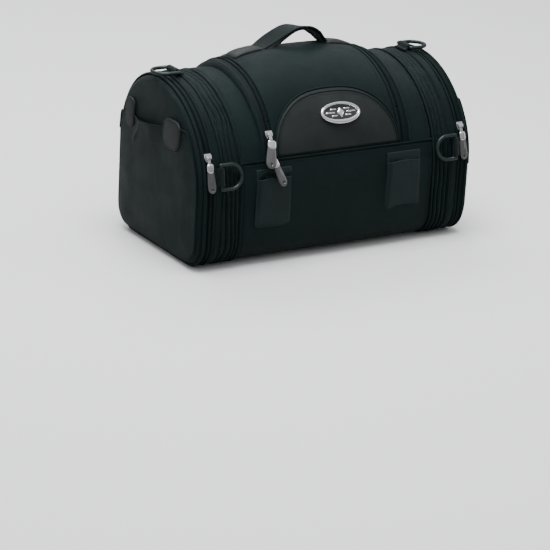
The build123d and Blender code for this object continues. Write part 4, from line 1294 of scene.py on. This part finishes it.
def pull_body(name, body, slider, fat=1.0):
    """Moulded zip pull: a tapered tab with a ridge, a plated head and a hole near its round end, shown as a
    pit on each face with a near-black disc of painted shade in it.
    """
    cloud = node_points(name)
    middle = cloud.mean(0)
    ahead, across, out = np.linalg.svd(cloud - middle, full_matrices=False)[2]
    if np.dot(ahead, middle - node_points(slider).mean(0)) < 0:
        ahead = -ahead
    if out[1] > 0:
        out = -out
    across = np.cross(out, ahead)
    reach = (cloud - middle) @ np.stack([ahead, across, out], 1)
    lo, hi = reach.min(0), reach.max(0)
    centre = middle + across * (lo[1] + hi[1]) / 2 + out * (lo[2] + hi[2]) / 2
    long = hi[0] - lo[0]
    t, turn = cross((1 - np.cos(np.linspace(0.02, math.pi - 0.02, 64))) / 2, turns(56))
    tip, head = bulge((t - TIP_START) / (1 - TIP_START)), bulge((HEAD_END - t) / HEAD_END)
    wide = fat * (hi[1] - lo[1]) / 2 * (1.0 + 0.38 * step(t, 0.05, 0.75)) * tip * head
    thick = 2.2 * MM * (0.75 + 0.25 * step(t, 0.05, 0.4)) * np.maximum(tip, 0.45) * np.maximum(head, 0.45)
    u = wide * squared(np.cos(turn), 0.7)
    v = thick * squared(np.sin(turn), 0.75)
    ridge = -0.5 * MM * np.exp(-(u / (1.2 * MM)) ** 2) * step(t, 0.36, 0.44) * step(-t, -0.74, -0.62)
    far = np.hypot((t - HOLE_AT) * long, u)
    pit = 1.5 * MM * np.exp(-(far / (1.9 * MM)) ** 4)
    v = v - np.sign(v) * np.minimum(ridge + pit, np.abs(v))

    def spot(t, u, v):
        return centre + (lo[0] + t * long)[..., None] * ahead + u[..., None] * across + v[..., None] * out

    wear(grid(name + "_mould", spot(t, u, v), uv(t * long, u), GREY, wrap=True), body, [name])
    turn = np.linspace(0, 2 * math.pi, 40)
    hub = centre + (lo[0] + HOLE_AT * long) * ahead
    # Near-black discs in both pits: painted shade for the hole
    shade_discs = []
    for way in (-1, 1):
        ring = np.linspace(0.03, 1, 5)[:, None, None] * 1.65 * MM
        spread = ring * (np.cos(turn)[None, :, None] * ahead + np.sin(turn)[None, :, None] * across)
        shade_discs.append(grid("shade_disc", hub + spread + way * 1.25 * MM * out, spread[..., :2], HOLE_SHADE, flip=way < 0))
    wear(join(name + "_hole", shade_discs), body)
    share, turn = cross(np.linspace(0, 1, 16), turns(48))
    end = np.sqrt(np.maximum(1 - np.abs(2 * share - 1) ** 6, 0.02))
    u = fat * (hi[1] - lo[1]) / 2 * (1.12 + 0.1 * share) * end * squared(np.cos(turn), 0.6)
    v = 2.6 * MM * end * squared(np.sin(turn), 0.7)
    along_t = 0.02 + 0.34 * share - 0.05 * share * np.cos(turn) ** 2
    head = grid(name + "_head", spot(along_t, u, v), uv(share * long, u), CHROME, wrap=True)
    wear(head, body)


pull_body("main_a_pull", "pull_a", "main_slider_a", 1.28)
pull_body("main_b_pull", "pull_b", "main_slider_b")
for side, _ in SIDES:
    pull_body(f"end_{side}_pull", f"end_pull_{side}", f"end_slider_{side}")

KEPT = (
    (CHROME, 0.25 * MM, ("main_slider_a", "main_slider_b", "end_slider_left", "end_slider_right",
                         "main_a_link", "main_b_link", "end_left_link", "end_right_link")),
    (BLACK_METAL, 0.0, ("dring_front_left", "dring_front_right", "dring_top_left", "dring_top_right")),
    (BLACK_PLASTIC, 0.6 * MM, ("rear_buckles",)),
    (BOARD, 0.0, ("base_board", "stiffening_hoops")),
)
for material, bevel, names in KEPT:
    for name in names:
        thing = NODES[name]
        thing.data.materials.clear()
        thing.data.materials.append(material)
        if bevel:
            modifier = thing.modifiers.new("softened edges", "BEVEL")
            modifier.width = bevel
            modifier.segments = 3
            modifier.limit_method = "ANGLE"
            modifier.angle_limit = math.radians(40)
        thing.data.polygons.foreach_set("use_smooth", [True] * len(thing.data.polygons))
        weld = thing.modifiers.new("weld", "WELD")
        weld.merge_threshold = 0.00001
        thing.modifiers.move(len(thing.modifiers) - 1, 0)

# ---------------------------------------------------------------- floor, light, camera
SKY_TOP, SKY_LOW, SKY_SEEN = 1.0, 0.10, 1.15
floor_mesh = bpy.data.meshes.new("floor")
floor_mesh.from_pydata([(-6, -6, 0), (6, -6, 0), (6, 12, 0), (-6, 12, 0)], [], [(0, 1, 2, 3)])
floor = bpy.data.objects.new("floor", floor_mesh)
bpy.context.scene.collection.objects.link(floor)
floor.location.z = CAD_LO.z - 3 * MM
floor_shade = Shade("floor", Roughness=0.7)
# The floor looks pale, and throws only a little light back up at the bag
floor_look = floor_shade.mix(floor_shade.add("LightPath"), rgb(0.42, 0.42, 0.42), rgb(0.92, 0.92, 0.92))
floor_shade.put(floor_shade.main, {"Base Color": floor_look})
floor.data.materials.append(floor_shade.material)


def lamp(name, where, target, size, power):
    data = bpy.data.lights.new(name, "AREA")
    data.shape = "RECTANGLE"
    data.size, data.size_y = size
    data.energy = power
    thing = bpy.data.objects.new(name, data)
    bpy.context.scene.collection.objects.link(thing)
    thing.location = where
    thing.rotation_euler = (Vector(target) - Vector(where)).to_track_quat("-Z", "Y").to_euler()


lamp("key", (-0.25, -0.25, 2.5), (0, 0, 0.15), (1.8, 1.2), 75)
lamp("left", (-2.4, -0.9, 0.9), (0, 0, 0.1), (0.8, 1.6), 3)
lamp("right", (2.2, -1.1, 0.8), (0, 0, 0.1), (0.6, 1.4), 4)
lamp("rim", (0.2, 1.7, 1.9), (0, 0, 0.2), (1.8, 0.8), 25)

world = bpy.data.worlds.new("studio")
bpy.context.scene.world = world
world.use_nodes = True
sky = Nodes(world.node_tree)
# The surround is bright to the eye and overhead, and dim near the horizon
height = sky.add("SeparateXYZ", {0: sky.add("NewGeometry", out="Incoming")}, out=2)
glow = sky.spread(height, -0.9, 0.1, SKY_TOP, SKY_LOW)
seen = sky.add("Mix", {0: sky.add("LightPath"), 2: glow, 3: SKY_SEEN})
sky.put(sky.tree.nodes["Background"], {"Strength": seen, "Color": rgb(0.96, 0.98, 1.0)})

CAMERA_AZIMUTH, CAMERA_ELEVATION, CAMERA_ROLL = -32.37, 19.85, 3.09
CAMERA_BACK, CAMERA_RIGHT, CAMERA_UP = 3.266, 0.0266, 0.1687
CAMERA_LENS = 156.8
a, e, r = (math.radians(v) for v in (CAMERA_AZIMUTH, CAMERA_ELEVATION, CAMERA_ROLL))
back = Vector((math.sin(a) * math.cos(e), -math.cos(a) * math.cos(e), math.sin(e)))
right = Vector((math.cos(a), math.sin(a), 0))
up = back.cross(right)
rolled_right = right * math.cos(r) + up * math.sin(r)
rolled_up = up * math.cos(r) - right * math.sin(r)
aim = Vector((0, 0.002, 0.1079))
camera = bpy.data.objects.new("camera", bpy.data.cameras.new("camera"))
camera.data.lens = CAMERA_LENS
camera.data.sensor_width = 36
bpy.context.scene.collection.objects.link(camera)
rotation = Matrix((rolled_right, rolled_up, back)).transposed()
position = aim - rotation @ Vector((CAMERA_RIGHT, CAMERA_UP, -CAMERA_BACK))
camera.matrix_world = Matrix.Translation(position) @ rotation.to_4x4()
bpy.context.scene.camera = camera
